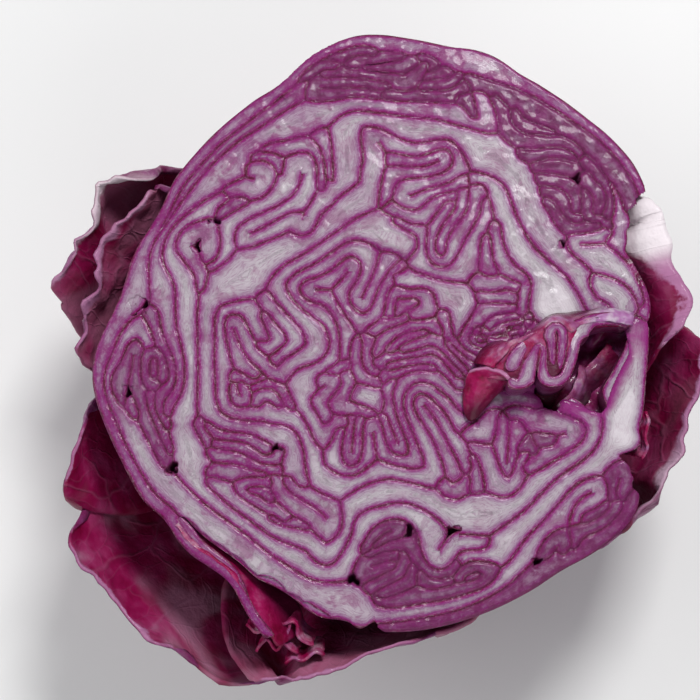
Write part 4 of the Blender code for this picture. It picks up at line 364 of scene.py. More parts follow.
HEART_CRINKLES = {
    "crinkle_heart_1": (0.45, [(5.9, 4.8, 1), (7, 6.8), (9.3, 7.2)]),
    "crinkle_heart_2": (0.45, [(4.6, -4.2, 0.8), (6.6, -2.2, 0.9), (9.4, -0.9, 0.9), (12.4, -0.4, 0.8)]),
    "crinkle_heart_3": (0.45, [
        (7.8, -4.4, 1), (10.6, -3.2, 1.3), (13.4, -2.1, 1.3), (15.6, -2.5, 1.2), (17.5, -4.4, 1.1),
        (19.6, -6.6, 1), (21.8, -8.8, 0.9)]),
    "crinkle_heart_4": (0.45, [
        (3.2, -10.8, 0.9), (6, -9.9, 0.9), (9, -9.1, 1), (12, -8.8, 0.9), (14.6, -9.2, 0.8)]),
    "crinkle_heart_5": (0.45, [(0.4, 0.6, 0.9), (2.6, 2, 1), (5.2, 2.6, 1), (7.4, 3.2, 0.9)]),
    "crinkle_heart_6": (1.1, [(-2.8, -14.8, 1.4), (-0.6, -15.8, 2.3), (1.2, -17, 1.9)]),
    "crinkle_heart_7": (0.45, [
        (-12.6, -11.6, 1.1), (-10.8, -10.9, 1.1), (-8.8, -11.9, 1), (-9.4, -14, 1), (-11.4, -15.4, 1.1),
        (-12.8, -17.2, 1.1), (-11.6, -19.4, 1.1), (-10.6, -21.2, 0.9)]),
    "crinkle_heart_8": (0.45, [
        (-6.4, -10.6, 1), (-5.8, -12.8, 1), (-7.2, -14.6, 1), (-8.8, -16.6, 1), (-8, -18.8, 1),
        (-5.6, -19.4, 1), (-3, -19.2, 1), (-0.6, -19.8, 1)]),
    "crinkle_heart_9": (0.45, [
        (-3.6, -3.4, 0.9), (-3.8, -6, 1), (-3.4, -8.8, 1), (-2, -11, 1.1), (0.4, -12.2, 1)]),
    "crinkle_heart_10": (0.45, [(-0.8, -2.2, 0.9), (-1.2, -4.8, 1), (-1.1, -7.4, 1), (0.4, -9.6, 0.9)]),
    "crinkle_heart_11": (0.45, [(-6.3, -8, 0.9), (-8.2, -8.9, 1), (-10.2, -9.6, 0.8)]),
    "crinkle_heart_12": (0.45, [
        (25.8, 12.6, 1.1), (28, 11.6, 1.8), (30.4, 11.6, 1.6), (32.6, 12, 1.1), (34.6, 11.2, 1)]),
    "crinkle_heart_13": (0.45, [(27.2, 8.8, 1), (29.6, 8.8, 1.1), (32.2, 8.6, 1.3), (34.2, 8, 1.2)]),
    "crinkle_heart_14": (0.45, [
        (28.4, 0.6, 1.1), (29.6, 2.6, 1.2), (32, 3.3, 1.1), (34.8, 3.5, 1.1), (37, 2.8, 1.1),
        (37.8, 0.8, 1.2), (37.4, -0.8, 0.9)]),
    "crinkle_heart_15": (0.45, [(31.2, 1, 0.8), (33.2, 1.3, 0.9), (35.2, 1.2, 0.8)]),
    "crinkle_heart_16": (0.45, [(29.4, -1.3, 0.9), (32, -1, 0.9), (35, -0.7, 0.9)]),
    "crinkle_heart_17": (0.45, [
        (25, 0.4, 0.8), (26.6, -0.8, 0.9), (27.4, -2.6, 0.9), (25.4, -3, 0.8), (24.2, -1.6, 0.8)]),
    "crinkle_heart_18": (0.45, [(18.4, -3.2, 0.9), (20.4, -5.3, 1), (22.8, -7.3, 1), (25.2, -8.9, 0.9)]),
    "crinkle_heart_19": (0.45, [
        (17.8, 4.4, 0.9), (17.6, 1.6, 0.9), (18.6, -0.8, 0.9), (20.2, -3, 0.9), (22.4, -5, 1),
        (24.8, -6.6, 1), (27, -7.6, 0.9)]),
    "crinkle_heart_20": (0.45, [
        (22.6, -24.4, 0.9), (24.6, -25.6, 1), (27, -25.4, 1), (28.6, -23.4, 1), (28.9, -20.8, 0.9)]),
    "crinkle_heart_21": (0.45, [(24.5, -36.3, 0.9), (24.4, -33.6, 1), (23.8, -31, 0.9)]),
    "crinkle_heart_22": (0.45, [(17.2, -36.8, 1), (18.4, -38.6, 1), (20.4, -37.6, 1), (22, -36, 0.9)]),
    "crinkle_heart_23": (0.6, [
        (-25.6, 3.4, 0.9), (-24.2, 0.9, 1.2), (-22.4, -1.2, 1.3), (-23, -3, 1.3), (-25, -4, 1.1),
        (-26.6, -3.2, 0.9)]),
    "crinkle_heart_24": (0.45, [
        (-28, -13.4, 0.9), (-25.9, -12.7, 0.9), (-23.6, -12.8, 1), (-21.8, -14.3, 1), (-20.3, -16.3, 1),
        (-19.2, -18, 0.8)]),
    "crinkle_heart_25": (0.45, [
        (-27.6, -17.4, 0.9), (-27.5, -15.4, 1), (-25.6, -14.8, 1.1), (-23.5, -15.4, 1),
        (-22.4, -17.2, 0.9)]),
    "crinkle_heart_26": (0.45, [
        (-31.2, -12.9, 0.9), (-30.2, -14.8, 1), (-30, -16.9, 0.9), (-31.9, -17.4, 1), (-33.2, -16, 1),
        (-33.4, -13.6, 1)]),
    "crinkle_heart_27": (0.45, [
        (-33.4, -11, 0.9), (-31.2, -11.2, 1), (-28.8, -11.8, 0.9), (-26.6, -11, 0.8)]),
}
RIGHT_CRINKLES = {
    "crinkle_right_1": (0.45, [
        (58.6, 36.5, 1.2), (60.4, 31.5, 2), (60.8, 28.6, 2), (59.8, 25.4, 1.9), (58.9, 22.8, 1.7),
        (60.1, 19.8), (62, 16.8, 1.3), (63.8, 13.6, 1.2), (65.4, 10.2, 1.1), (66.2, 6.5, 1.1),
        (66, 3.4, 1)]),
    "crinkle_right_2": (0.8, [
        (26.2, -0.4, 1), (29, 0.2, 1.1), (32, 1.2, 1.2), (35, 2.4, 1.2), (37.5, 3.6, 1)]),
    "crinkle_right_4": (0.5, [(25.6, -17.2, 1.1), (30, -15.9, 1.3), (34.6, -16, 1.3), (38.6, -16.8, 1.1)]),
    "crinkle_right_5": (0.5, [(24.4, -12.8, 1.1), (29, -12, 1.4), (33.6, -12.2, 1.4), (38, -12.8, 1.2)]),
    "crinkle_right_6": (0.5, [(26, -8.6, 1.1), (31, -8, 1.4), (36, -8.2, 1.4)]),
    "crinkle_right_3": (0.5, [
        (25.8, -2.2, 0.9), (29, -1.8, 1), (32.5, -1, 1.1), (36, 0.2, 1.1), (39.5, 1.6, 1)]),
}
LEFT_CRINKLES = {
    "crinkle_left_1": (0.25, [
        (-52.4, -12.8, 0.9), (-53.9, -11.8, 1), (-54.3, -9, 1), (-54, -6.4, 1), (-52.6, -5, 1),
        (-51, -5.6, 1.1), (-50, -8, 1.1), (-49.9, -10.8, 1)]),
    "crinkle_left_2": (0.25, [(-52.3, -7.3, 0.8), (-52.4, -10, 0.8)]),
    "crinkle_left_3": (0.3, [
        (-53, -15.6, 0.8), (-52.7, -18, 0.9), (-51.6, -20.8, 0.9), (-50.3, -23.6, 0.9), (-49, -26.2, 0.9),
        (-48, -28.4, 0.9)]),
    "crinkle_left_4": (0.3, [(-58.4, -16.6, 0.8), (-57.4, -18, 0.9), (-56.7, -19.6, 0.8)]),
    "crinkle_left_5": (0.35, [(-41.3, -22.6, 0.8), (-40.2, -24.4, 1), (-38.9, -26.6, 0.9)]),
    "crinkle_left_6": (0.35, [
        (-39, -23.2, 0.8), (-36.8, -24.8, 1), (-33.6, -25.4, 1), (-30.4, -25.5, 1), (-27.6, -26.8, 1),
        (-25.6, -28.6, 0.9)]),
    "crinkle_left_7": (0.35, [
        (-38.1, -29, 0.8), (-35.2, -29.6, 1), (-32.2, -30.4, 1), (-29.2, -31.6, 1), (-26, -32.9, 0.9),
        (-22.6, -33.2, 0.9)]),
    "crinkle_left_8": (0.35, [
        (-38.7, -34.2, 1), (-35.8, -34, 1.1), (-32.8, -33.7, 1.1), (-29.4, -34, 0.9), (-26.2, -34.4, 0.8)]),
    "crinkle_left_9": (0.35, [(-28.6, -38, 0.8), (-26, -38.4, 0.9), (-24.6, -40, 0.8)]),
    "crinkle_left_10": (0.35, [
        (-23.6, -45, 0.8), (-21.2, -46.2, 0.9), (-18.2, -46.4, 1), (-15.8, -47, 0.9)]),
}
BOTTOM_CRINKLES = {
    "crinkle_bottom_1": (0.2, [(40, -26.4, 1), (42.4, -26.6, 1)]),
    "crinkle_bottom_2": (0.2, [(35.6, -28.2, 0.9), (37.6, -27.3, 1), (38.4, -28.8, 0.8)]),
    "crinkle_bottom_3": (0.2, [
        (-1.6, -51.6, 0.9), (0.4, -49.4, 0.9), (2.2, -47.3, 0.9), (4.4, -46.4, 1), (6.8, -47.4, 1),
        (5.8, -48.7, 0.9), (3.4, -49.6, 0.9), (1, -51, 0.8)]),
    "crinkle_bottom_4": (0.2, [
        (5.4, -53.6, 0.9), (2.8, -53.8, 0.9), (0.2, -54.4, 1), (-1.9, -55.6, 1.1), (-2, -57.5, 1.1),
        (0, -57.9, 1.1), (2, -56.7, 1), (4.2, -55.9, 0.9)]),
    "crinkle_bottom_5": (0.2, [
        (7.4, -53.6, 0.9), (7.4, -56, 1), (5.6, -57.8, 1), (3.2, -59, 1), (0.6, -60.4, 1.1)]),
    "crinkle_bottom_6": (0.2, [
        (9.4, -56.8, 0.9), (9, -59, 0.9), (7, -60.5, 1), (4.8, -61.6, 1), (2.4, -62.6, 1)]),
    "crinkle_bottom_7": (0.2, [
        (11.6, -58.2, 0.9), (12.8, -60, 1), (15.2, -60.3, 1.1), (17.6, -59.7, 1.1)]),
    "crinkle_bottom_8": (0.2, [(24.4, -58.2, 0.8), (22.2, -58.8, 0.6)]),
    "crinkle_bottom_9": (0.2, [
        (40.6, -53.4, 1), (41.6, -50.8, 1.1), (44, -48.9, 1.1), (46, -50.6, 1.1), (45.2, -52.8, 0.9)]),
    "crinkle_bottom_10": (0.2, [
        (47.8, -51.6, 1), (48.2, -48.8, 1), (50.6, -47.2, 1.1), (53.6, -46, 1.1), (56, -44.2, 1.1),
        (57.4, -42, 1)]),
    "crinkle_bottom_11": (0.2, [(50.6, -44.8, 1), (53, -43.4, 1), (55.2, -41.8, 1)]),
    "crinkle_bottom_12": (0.2, [
        (56.8, -39.4, 1), (56.8, -36.8, 1), (56.9, -34.4, 1.1), (58.4, -32.6, 1.1), (60.2, -33.8, 1),
        (60.4, -36.4, 1), (59, -38.6, 1)]),
}
# a leaf low in the hollow, which presses on the leaves beside it
HOLLOW_LEAF = [(39.5, -14.4, 1.2), (44.8, -12.6, 1.3), (50, -9.2, 1.4), (54, -5.6, 1.3), (57.3, -2, 1.1)]

MM = 0.001
HEAD_DEPTH = 72.0  # cut face above the stalk's flat cut
ARC_RADIUS = 72.0  # radius of the arc that the head follows from the cut face down
CRINKLE_DEPTH = 11.0  # how far down the small folded ends are made
SAMPLE = 0.5  # spacing of the samples along a leaf
USUAL_HALF = 1.5  # half of a leaf's thickness where its route gives none
SKIN_GAP = 0.06  # air between two leaves that press on each other
SWELL = (1.65, 0.8)  # a cut leaf swells to this many times its thickness, plus this much
THINNEST = 0.25  # half of a leaf's thickness where it is pressed the most
FREE_AIR = 0.3  # with more air than this beside it, a side swells less and less
TIP_TAPER = 1.0  # how long the last stretch is, where a leaf narrows to its tip
TIP_SHARE = 0.4  # and how much of its width is left at the tip
CUT_STRAY = 0.05  # how far a side may stray between two of the samples that are kept
CUT_STRIDE = 3  # and the most samples from one of them to the next
EDGE_SINK = 0.35  # how far each leaf's own edge lies under the joined cut face
EDGE_LUMPS = ((0.22, 5.0, 3.1), (0.1, 1.6, 7.7), (0.3, 14.0, 1.3))  # height, size and seed
EDGE_DOME = 0.07  # how far a cut edge domes up, for each millimetre of half its thickness
EDGE_ROUND = 0.22  # and how far it is rounded off at its skin
EDGE_TO_SIDE = 4.0  # the sides sink with the edge down to here
SPRUNG_LENGTH = 31.0  # how much of the first rim leaf, from its start, has sprung from the head
SPRUNG_LEAN = 5.0  # and how far it leans inward lower down, over the first SPRUNG_DEPTH
SPRUNG_DEPTH = 30.0
LEAF_RUN = 137.0  # where the next leaf's veins start along the same net
# how deep a leaf reaches, as pairs: nowhere nearer to the axis than this, and as deep as this
LEAF_REACH = ((52.0, 67.6), (39.0, 63.5), (33.0, 51.7), (10.5, 42.0), (0.0, 18.0))


def smooth_line(points, step=SAMPLE):
    """A smooth line through the points, in even steps over the plan; a third column comes along."""
    given = np.array(points, float)
    ends = np.vstack([2 * given[0] - given[1], given, 2 * given[-1] - given[-2]])
    line = []
    for before, start, stop, after in zip(ends, ends[1:], ends[2:], ends[3:]):
        knots = [0.0]
        for p, q in ((before, start), (start, stop), (stop, after)):
            knots.append(knots[-1] + math.sqrt(max(1e-6, math.dist(p[:2], q[:2]))))
        t0, t1, t2, t3 = knots
        pieces = max(2, math.ceil(math.dist(start[:2], stop[:2]) / step))
        for t in np.linspace(t1, t2, pieces, endpoint=False):
            a1 = ((t1 - t) * before + (t - t0) * start) / (t1 - t0)
            a2 = ((t2 - t) * start + (t - t1) * stop) / (t2 - t1)
            a3 = ((t3 - t) * stop + (t - t2) * after) / (t3 - t2)
            b1 = ((t2 - t) * a1 + (t - t0) * a2) / (t2 - t0)
            b2 = ((t3 - t) * a2 + (t - t1) * a3) / (t3 - t1)
            line.append(((t2 - t) * b1 + (t - t1) * b2) / (t2 - t1))
    line.append(given[-1])
    line = np.array(line)
    for _ in range(3):
        line[1:-1] = 0.25 * line[:-2] + 0.5 * line[1:-1] + 0.25 * line[2:]
    along = np.concatenate([[0.0], np.cumsum(np.hypot(*np.diff(line[:, :2], axis=0).T))])
    wanted = np.linspace(0.0, along[-1], max(4, round(along[-1] / step) + 1))
    return np.stack([np.interp(wanted, along, column) for column in line.T], axis=1)


def leaf_line(points):
    """A leaf's route as a smooth line: x, y and the most that half of it can be thick."""
    return smooth_line([(*point[:2], point[2] if len(point) > 2 else USUAL_HALF) for point in points])


def between(values, low, high):
    """0 at low, 1 at high, even between them and no more beyond; low may be the larger one."""
    return np.clip((values - low) / (high - low), 0.0, 1.0)


def eased(values):
    """The smallest value next to each sample, then a mean over a few, so a side stays smooth."""
    near, reach = 1, 2
    padded = np.pad(values, near, mode="edge")
    lowest = np.min([padded[k:k + len(values)] for k in range(2 * near + 1)], axis=0)
    padded = np.pad(lowest, reach, mode="edge")
    return np.mean([padded[k:k + len(values)] for k in range(2 * reach + 1)], axis=0)


def press_together(routes):
    """Each leaf's middle line, its direction across, and how far it swells to its left and right."""
    lines = {name: leaf_line(points) for name, points in routes.items()}
    everything = np.vstack([line[:, :2] for line in lines.values()])
    owner = np.concatenate([np.full(len(line), k) for k, line in enumerate(lines.values())])
    place = np.concatenate([np.arange(len(line)) for line in lines.values()])
    pressed = {}
    for number, (name, line) in enumerate(lines.items()):
        along = np.gradient(line[:, :2], axis=0)
        along /= np.linalg.norm(along, axis=1)[:, None]
        across = np.stack([-along[:, 1], along[:, 0]], axis=1)
        offset = everything[None] - line[:, None, :2]
        squared = (offset ** 2).sum(axis=2)
        same_spot = (owner[None] == number) & (np.abs(place[None] - np.arange(len(line))[:, None]) <= 1)
        run = np.arange(len(line)) * SAMPLE
        from_tip = between(np.minimum(run, run[-1] - run), 0.0, TIP_TAPER)
        taper = TIP_SHARE + (1.0 - TIP_SHARE) * np.sqrt(from_tip)
        widths = []
        for side in (1.0, -1.0):
            reach = side * np.einsum("ijk,ik->ij", offset, across)
            usable = (reach > 1e-6) & ~same_spot
            limit = np.where(usable, squared / np.where(usable, 2.0 * reach, 1.0), np.inf).min(axis=1)
            swollen = line[:, 2] * SWELL[0] + SWELL[1]
            free = np.clip((limit - swollen - FREE_AIR) / swollen, 0.0, 1.0)
            most = swollen + (line[:, 2] - swollen) * free
            widths.append(eased(np.clip(limit - SKIN_GAP / 2, THINNEST, most)) * taper)
        pressed[name] = (line[:, :2], across, widths[0], widths[1])
    return pressed


def scale_at(depth):
    """How much the head has narrowed at a depth under the cut face."""
    return np.sqrt(np.clip(1.0 - (np.asarray(depth) / ARC_RADIUS) ** 2, 0.0, 1.0))


def wanted_stations(left, right):
    """The fewest samples that keep both sides smooth."""
    both = np.hstack([left, right])
    kept = {0, 1, len(both) - 2, len(both) - 1}
    spans = [(0, len(both) - 1)]
    while spans:
        first, last = spans.pop()
        if last - first < 2:
            continue
        way = both[last] - both[first]
        between = both[first + 1:last] - both[first]
        share = np.clip(between @ way / max(1e-9, way @ way), 0.0, 1.0)
        stray = between - share[:, None] * way
        error = np.maximum(np.hypot(stray[:, 0], stray[:, 1]), np.hypot(stray[:, 2], stray[:, 3]))
        worst = int(error.argmax())
        if error[worst] > CUT_STRAY or last - first > CUT_STRIDE:
            middle = first + 1 + worst if error[worst] > CUT_STRAY else (first + last) // 2
            kept.add(middle)
            spans += [(first, middle), (middle, last)]
    return sorted(kept)


def unevenness(x, y, size, seed):
    """A smooth random height between about -1 and 1, with lumps of this size in millimetres."""
    return noise.noise(Vector((x / size, y / size, seed)))


def lumps(x, y, kinds):
    """Unevenness of several kinds at once, each with its own height, size and seed."""
    return sum(height * unevenness(x, y, size, seed) for height, size, seed in kinds)


def bare_mesh(name, points, faces, **spots):
    """A mesh object from points in millimetres above the stalk's cut, with a number at each point."""
    mesh = bpy.data.meshes.new(name)
    mesh.from_pydata((np.asarray(points, float) * MM).tolist(), [], faces)
    for spot, values in spots.items():
        layer = mesh.attributes.new(spot, "FLOAT", "POINT")
        layer.data.foreach_set("value", np.asarray(values, np.float32))
    mesh.shade_smooth()
    made = bpy.data.objects.new(name, mesh)
    bpy.context.collection.objects.link(made)
    return made


def ring_faces(rings, around):
    """Quads between closed rings of points that follow each other, and the two ends."""
    faces = []
    for ring in range(rings - 1):
        low, high = ring * around, (ring + 1) * around
        for k in range(around):
            after = (k + 1) % around
            faces.append((low + k, low + after, high + after, high + k))
    faces.append(tuple(range(around - 1, -1, -1)))
    last = (rings - 1) * around
    faces.append(tuple(last + k for k in range(around)))
    return faces


# the places of a leaf's points across its cut edge, and down each of its sides
ACROSS = (1.0, 0.93, 0.8, 0.55, 0.25, 0.0, -0.25, -0.55, -0.8, -0.93, -1.0)
WALL_SHARES = (0.0, 0.004, 0.014, 0.04, 0.1, 0.2, 0.32, 0.44, 0.56, 0.67, 0.78, 0.88, 0.95, 1.0)


def leaf_body(name, pressed, depth, paleness, run_start, sink, lift=None, lean=None):
    """One leaf as a closed body: its cut edge, at its height over the cut face, and two sides below it.

    Each point carries how far it is from the skin, how thick and how pale the leaf is there, how deep the
    point lies under the cut edge, and its place along the leaf.
    """
    middle, across, left_width, right_width = pressed
    left = middle + across * left_width[:, None]
    right = middle - across * right_width[:, None]
    stations = wanted_stations(left, right)
    run = np.arange(len(middle)) * SAMPLE
    if lift is None:
        lift = np.zeros(len(middle))
    points, skin, half, downs, runs = [], [], [], [], []
    for k in stations:
        thick = left_width[k] + right_width[k]
        ring = []
        for u in ACROSS:
            width = left_width[k] if u > 0 else right_width[k]
            spot = middle[k] + across[k] * u * width
            dome = EDGE_DOME * min(thick, 6.0) / 2 * (1 - u * u) - EDGE_ROUND * abs(u) ** 10
            height = lift[k] + dome + lumps(*spot, EDGE_LUMPS) - sink
            ring.append((*spot, height, (1 - abs(u)) * width, 0.0))
        drops = [(lift[k] + depth) * share for share in WALL_SHARES[1:]]
        for edge, drop in [(right[k], d) for d in drops] + [(left[k], d) for d in reversed(drops)]:
            sunk = sink if drop < EDGE_TO_SIDE else 0.0
            ring.append((*edge, lift[k] - drop - sunk, 0.0, drop))
        ring = np.array(ring)
        shrink = scale_at(np.clip(-ring[:, 2], 0.0, None))
        plan = ring[:, :2] * shrink[:, None]
        if lean is not None:
            out = plan / np.linalg.norm(plan, axis=1)[:, None]
            share = between(ring[:, 4], 0.0, SPRUNG_DEPTH)
            plan = plan - out * (lean[k] * shrink * share)[:, None]
        points.append(np.column_stack([plan, HEAD_DEPTH + ring[:, 2]]))
        skin.append(ring[:, 3])
        downs.append(ring[:, 4])
        half.append(np.full(len(ring), thick / 2))
        runs.append(np.full(len(ring), run[k] + run_start))
    around = len(points[0])
    return bare_mesh(name, np.vstack(points), ring_faces(len(points), around),
                     skin_distance=np.concatenate(skin), half_thickness=np.concatenate(half),
                     below_cut=np.concatenate(downs), run=np.concatenate(runs),
                     paleness=np.full(around * len(points), paleness))


def add_node(tree, kind, **settings):
    made = tree.nodes.new(kind)
    for key, value in settings.items():
        setattr(made, key, value)
    return made


def feed(tree, socket, value):
    """A link where the value comes from another node, and a plain setting otherwise."""
    if isinstance(value, bpy.types.NodeSocket):
        tree.links.new(value, socket)
    else:
        socket.default_value = value


def measured(tree, spot):
    """The number that the mesh carries at each point."""
    return add_node(tree, "ShaderNodeAttribute", attribute_name=spot).outputs["Fac"]


def sums(tree, operation, first, second, third=0.0):
    """One step of arithmetic between numbers or other nodes."""
    made = add_node(tree, "ShaderNodeMath", operation=operation)
    for socket, value in zip(made.inputs, (first, second, third)):
        feed(tree, socket, value)
    return made.outputs[0]


def rise(tree, value, low, high, bottom=0.0, top=1.0):
    """Bottom below low, top above high and a smooth rise between them."""
    made = add_node(tree, "ShaderNodeMapRange", interpolation_type="SMOOTHSTEP")
    for socket, number in zip(made.inputs, (value, low, high, bottom, top)):
        feed(tree, socket, number)
    return made.outputs[0]


def mottle(tree, place, size, detail=3.0, roughness=0.6, distortion=0.0):
    """Soft random patches of about this size in millimetres."""
    made = add_node(tree, "ShaderNodeTexNoise")
    feed(tree, made.inputs["Vector"], place)
    made.inputs["Scale"].default_value = 1.0 / (size * MM)
    made.inputs["Detail"].default_value = detail
    made.inputs["Roughness"].default_value = roughness
    made.inputs["Distortion"].default_value = distortion
    return made.outputs["Fac"]


def tint(tree, share, first, second):
    """The second colour over the first by this share."""
    made = add_node(tree, "ShaderNodeMix", data_type="RGBA")
    sockets = (made.inputs["Factor"], made.inputs[6], made.inputs[7])
    for socket, value in zip(sockets, (share, first, second)):
        feed(tree, socket, (*value, 1.0) if isinstance(value, tuple) else value)
    return made.outputs[2]


def shades(tree, value, stops):
    """Colours along a scale, as (place, red, green, blue)."""
    made = add_node(tree, "ShaderNodeValToRGB")
    scale = made.color_ramp
    while len(scale.elements) < len(stops):
        scale.elements.new(0.5)
    for element, (place, *colour) in zip(scale.elements, stops):
        element.position = place
        element.color = (*colour, 1.0)
    feed(tree, made.inputs[0], value)
    return made.outputs[0]


def surface(tree, shader, colour, roughness, height, deep):
    """The finish's colour, its roughness, and its relief of this depth in millimetres."""
    feed(tree, shader.inputs["Base Color"], colour)
    feed(tree, shader.inputs["Roughness"], roughness)
    made = add_node(tree, "ShaderNodeBump")
    made.inputs["Strength"].default_value = 1.0
    made.inputs["Distance"].default_value = deep * MM
    feed(tree, made.inputs["Height"], height)
    feed(tree, shader.inputs["Normal"], made.outputs[0])


def new_finish(name, coat):
    """A finish with a thin wet coat over it, its nodes, its shader, and the place on the object."""
    made = bpy.data.materials.new(name)
    made.use_nodes = True
    shader = made.node_tree.nodes["Principled BSDF"]
    shader.inputs["Coat Weight"].default_value = coat
    shader.inputs["Coat Roughness"].default_value = 0.09
    shader.inputs["Specular IOR Level"].default_value = 0.1
    shader.inputs["Coat IOR"].default_value = 1.33
    place = add_node(made.node_tree, "ShaderNodeTexCoord").outputs["Object"]
    return made, made.node_tree, shader, place


# the darkest skin, which is also the colour of the painted shade on the bent sheets lower down
DARK_SKIN_AND_SHADE = (0.055, 0.003, 0.018)
WINE_SKIN = (0.16, 0.012, 0.07)
PURPLE_SKIN = (0.23, 0.04, 0.16)
BLOOM = (0.33, 0.15, 0.30)
VEIN = (0.46, 0.24, 0.38)
PETIOLE = (0.55, 0.35, 0.48)


def skin_colour(tree, along, down, place, vein_width=0.05, bloom=0.35):
    """The waxy skin: wine red to purple, with a paler net of veins that fan out from the stalk."""
    stretch = add_node(tree, "ShaderNodeCombineXYZ")
    feed(tree, stretch.inputs[0], sums(tree, "MULTIPLY", along, 1 / 13.0))
    feed(tree, stretch.inputs[1], sums(tree, "MULTIPLY", down, 1 / 26.0))
    wander = add_node(tree, "ShaderNodeTexNoise", noise_dimensions="2D")
    feed(tree, wander.inputs["Vector"], stretch.outputs[0])
    wander.inputs["Scale"].default_value = 1.7
    bent = add_node(tree, "ShaderNodeVectorMath", operation="MULTIPLY_ADD")
    feed(tree, bent.inputs[0], wander.outputs["Color"])
    bent.inputs[1].default_value = (0.5, 0.5, 0.0)
    feed(tree, bent.inputs[2], stretch.outputs[0])
    nets = []
    for fineness, width in ((1.0, vein_width), (2.7, vein_width * 1.5)):
        net = add_node(tree, "ShaderNodeTexVoronoi", feature="DISTANCE_TO_EDGE", voronoi_dimensions="2D")
        feed(tree, net.inputs["Vector"], bent.outputs[0])
        net.inputs["Scale"].default_value = fineness
        nets.append(rise(tree, net.outputs["Distance"], 0.0, width, 1.0, 0.0))
    veins = sums(tree, "MAXIMUM", nets[0], sums(tree, "MULTIPLY", nets[1], 0.45))
    patches = mottle(tree, place, 16.0)
    fine = mottle(tree, place, 1.3, 3.0, 0.65)
    colour = tint(tree, rise(tree, patches, 0.36, 0.62), WINE_SKIN, PURPLE_SKIN)
    dusted = sums(tree, "MULTIPLY", rise(tree, mottle(tree, place, 7.0, 4.0, 0.65), 0.42, 0.72), bloom)
    colour = tint(tree, dusted, colour, BLOOM)
    colour = tint(tree, sums(tree, "MULTIPLY", veins, 0.3), colour, VEIN)
    colour = tint(tree, rise(tree, fine, 0.3, 0.75, 0.0, 0.35), colour, DARK_SKIN_AND_SHADE)
    return colour, veins, fine


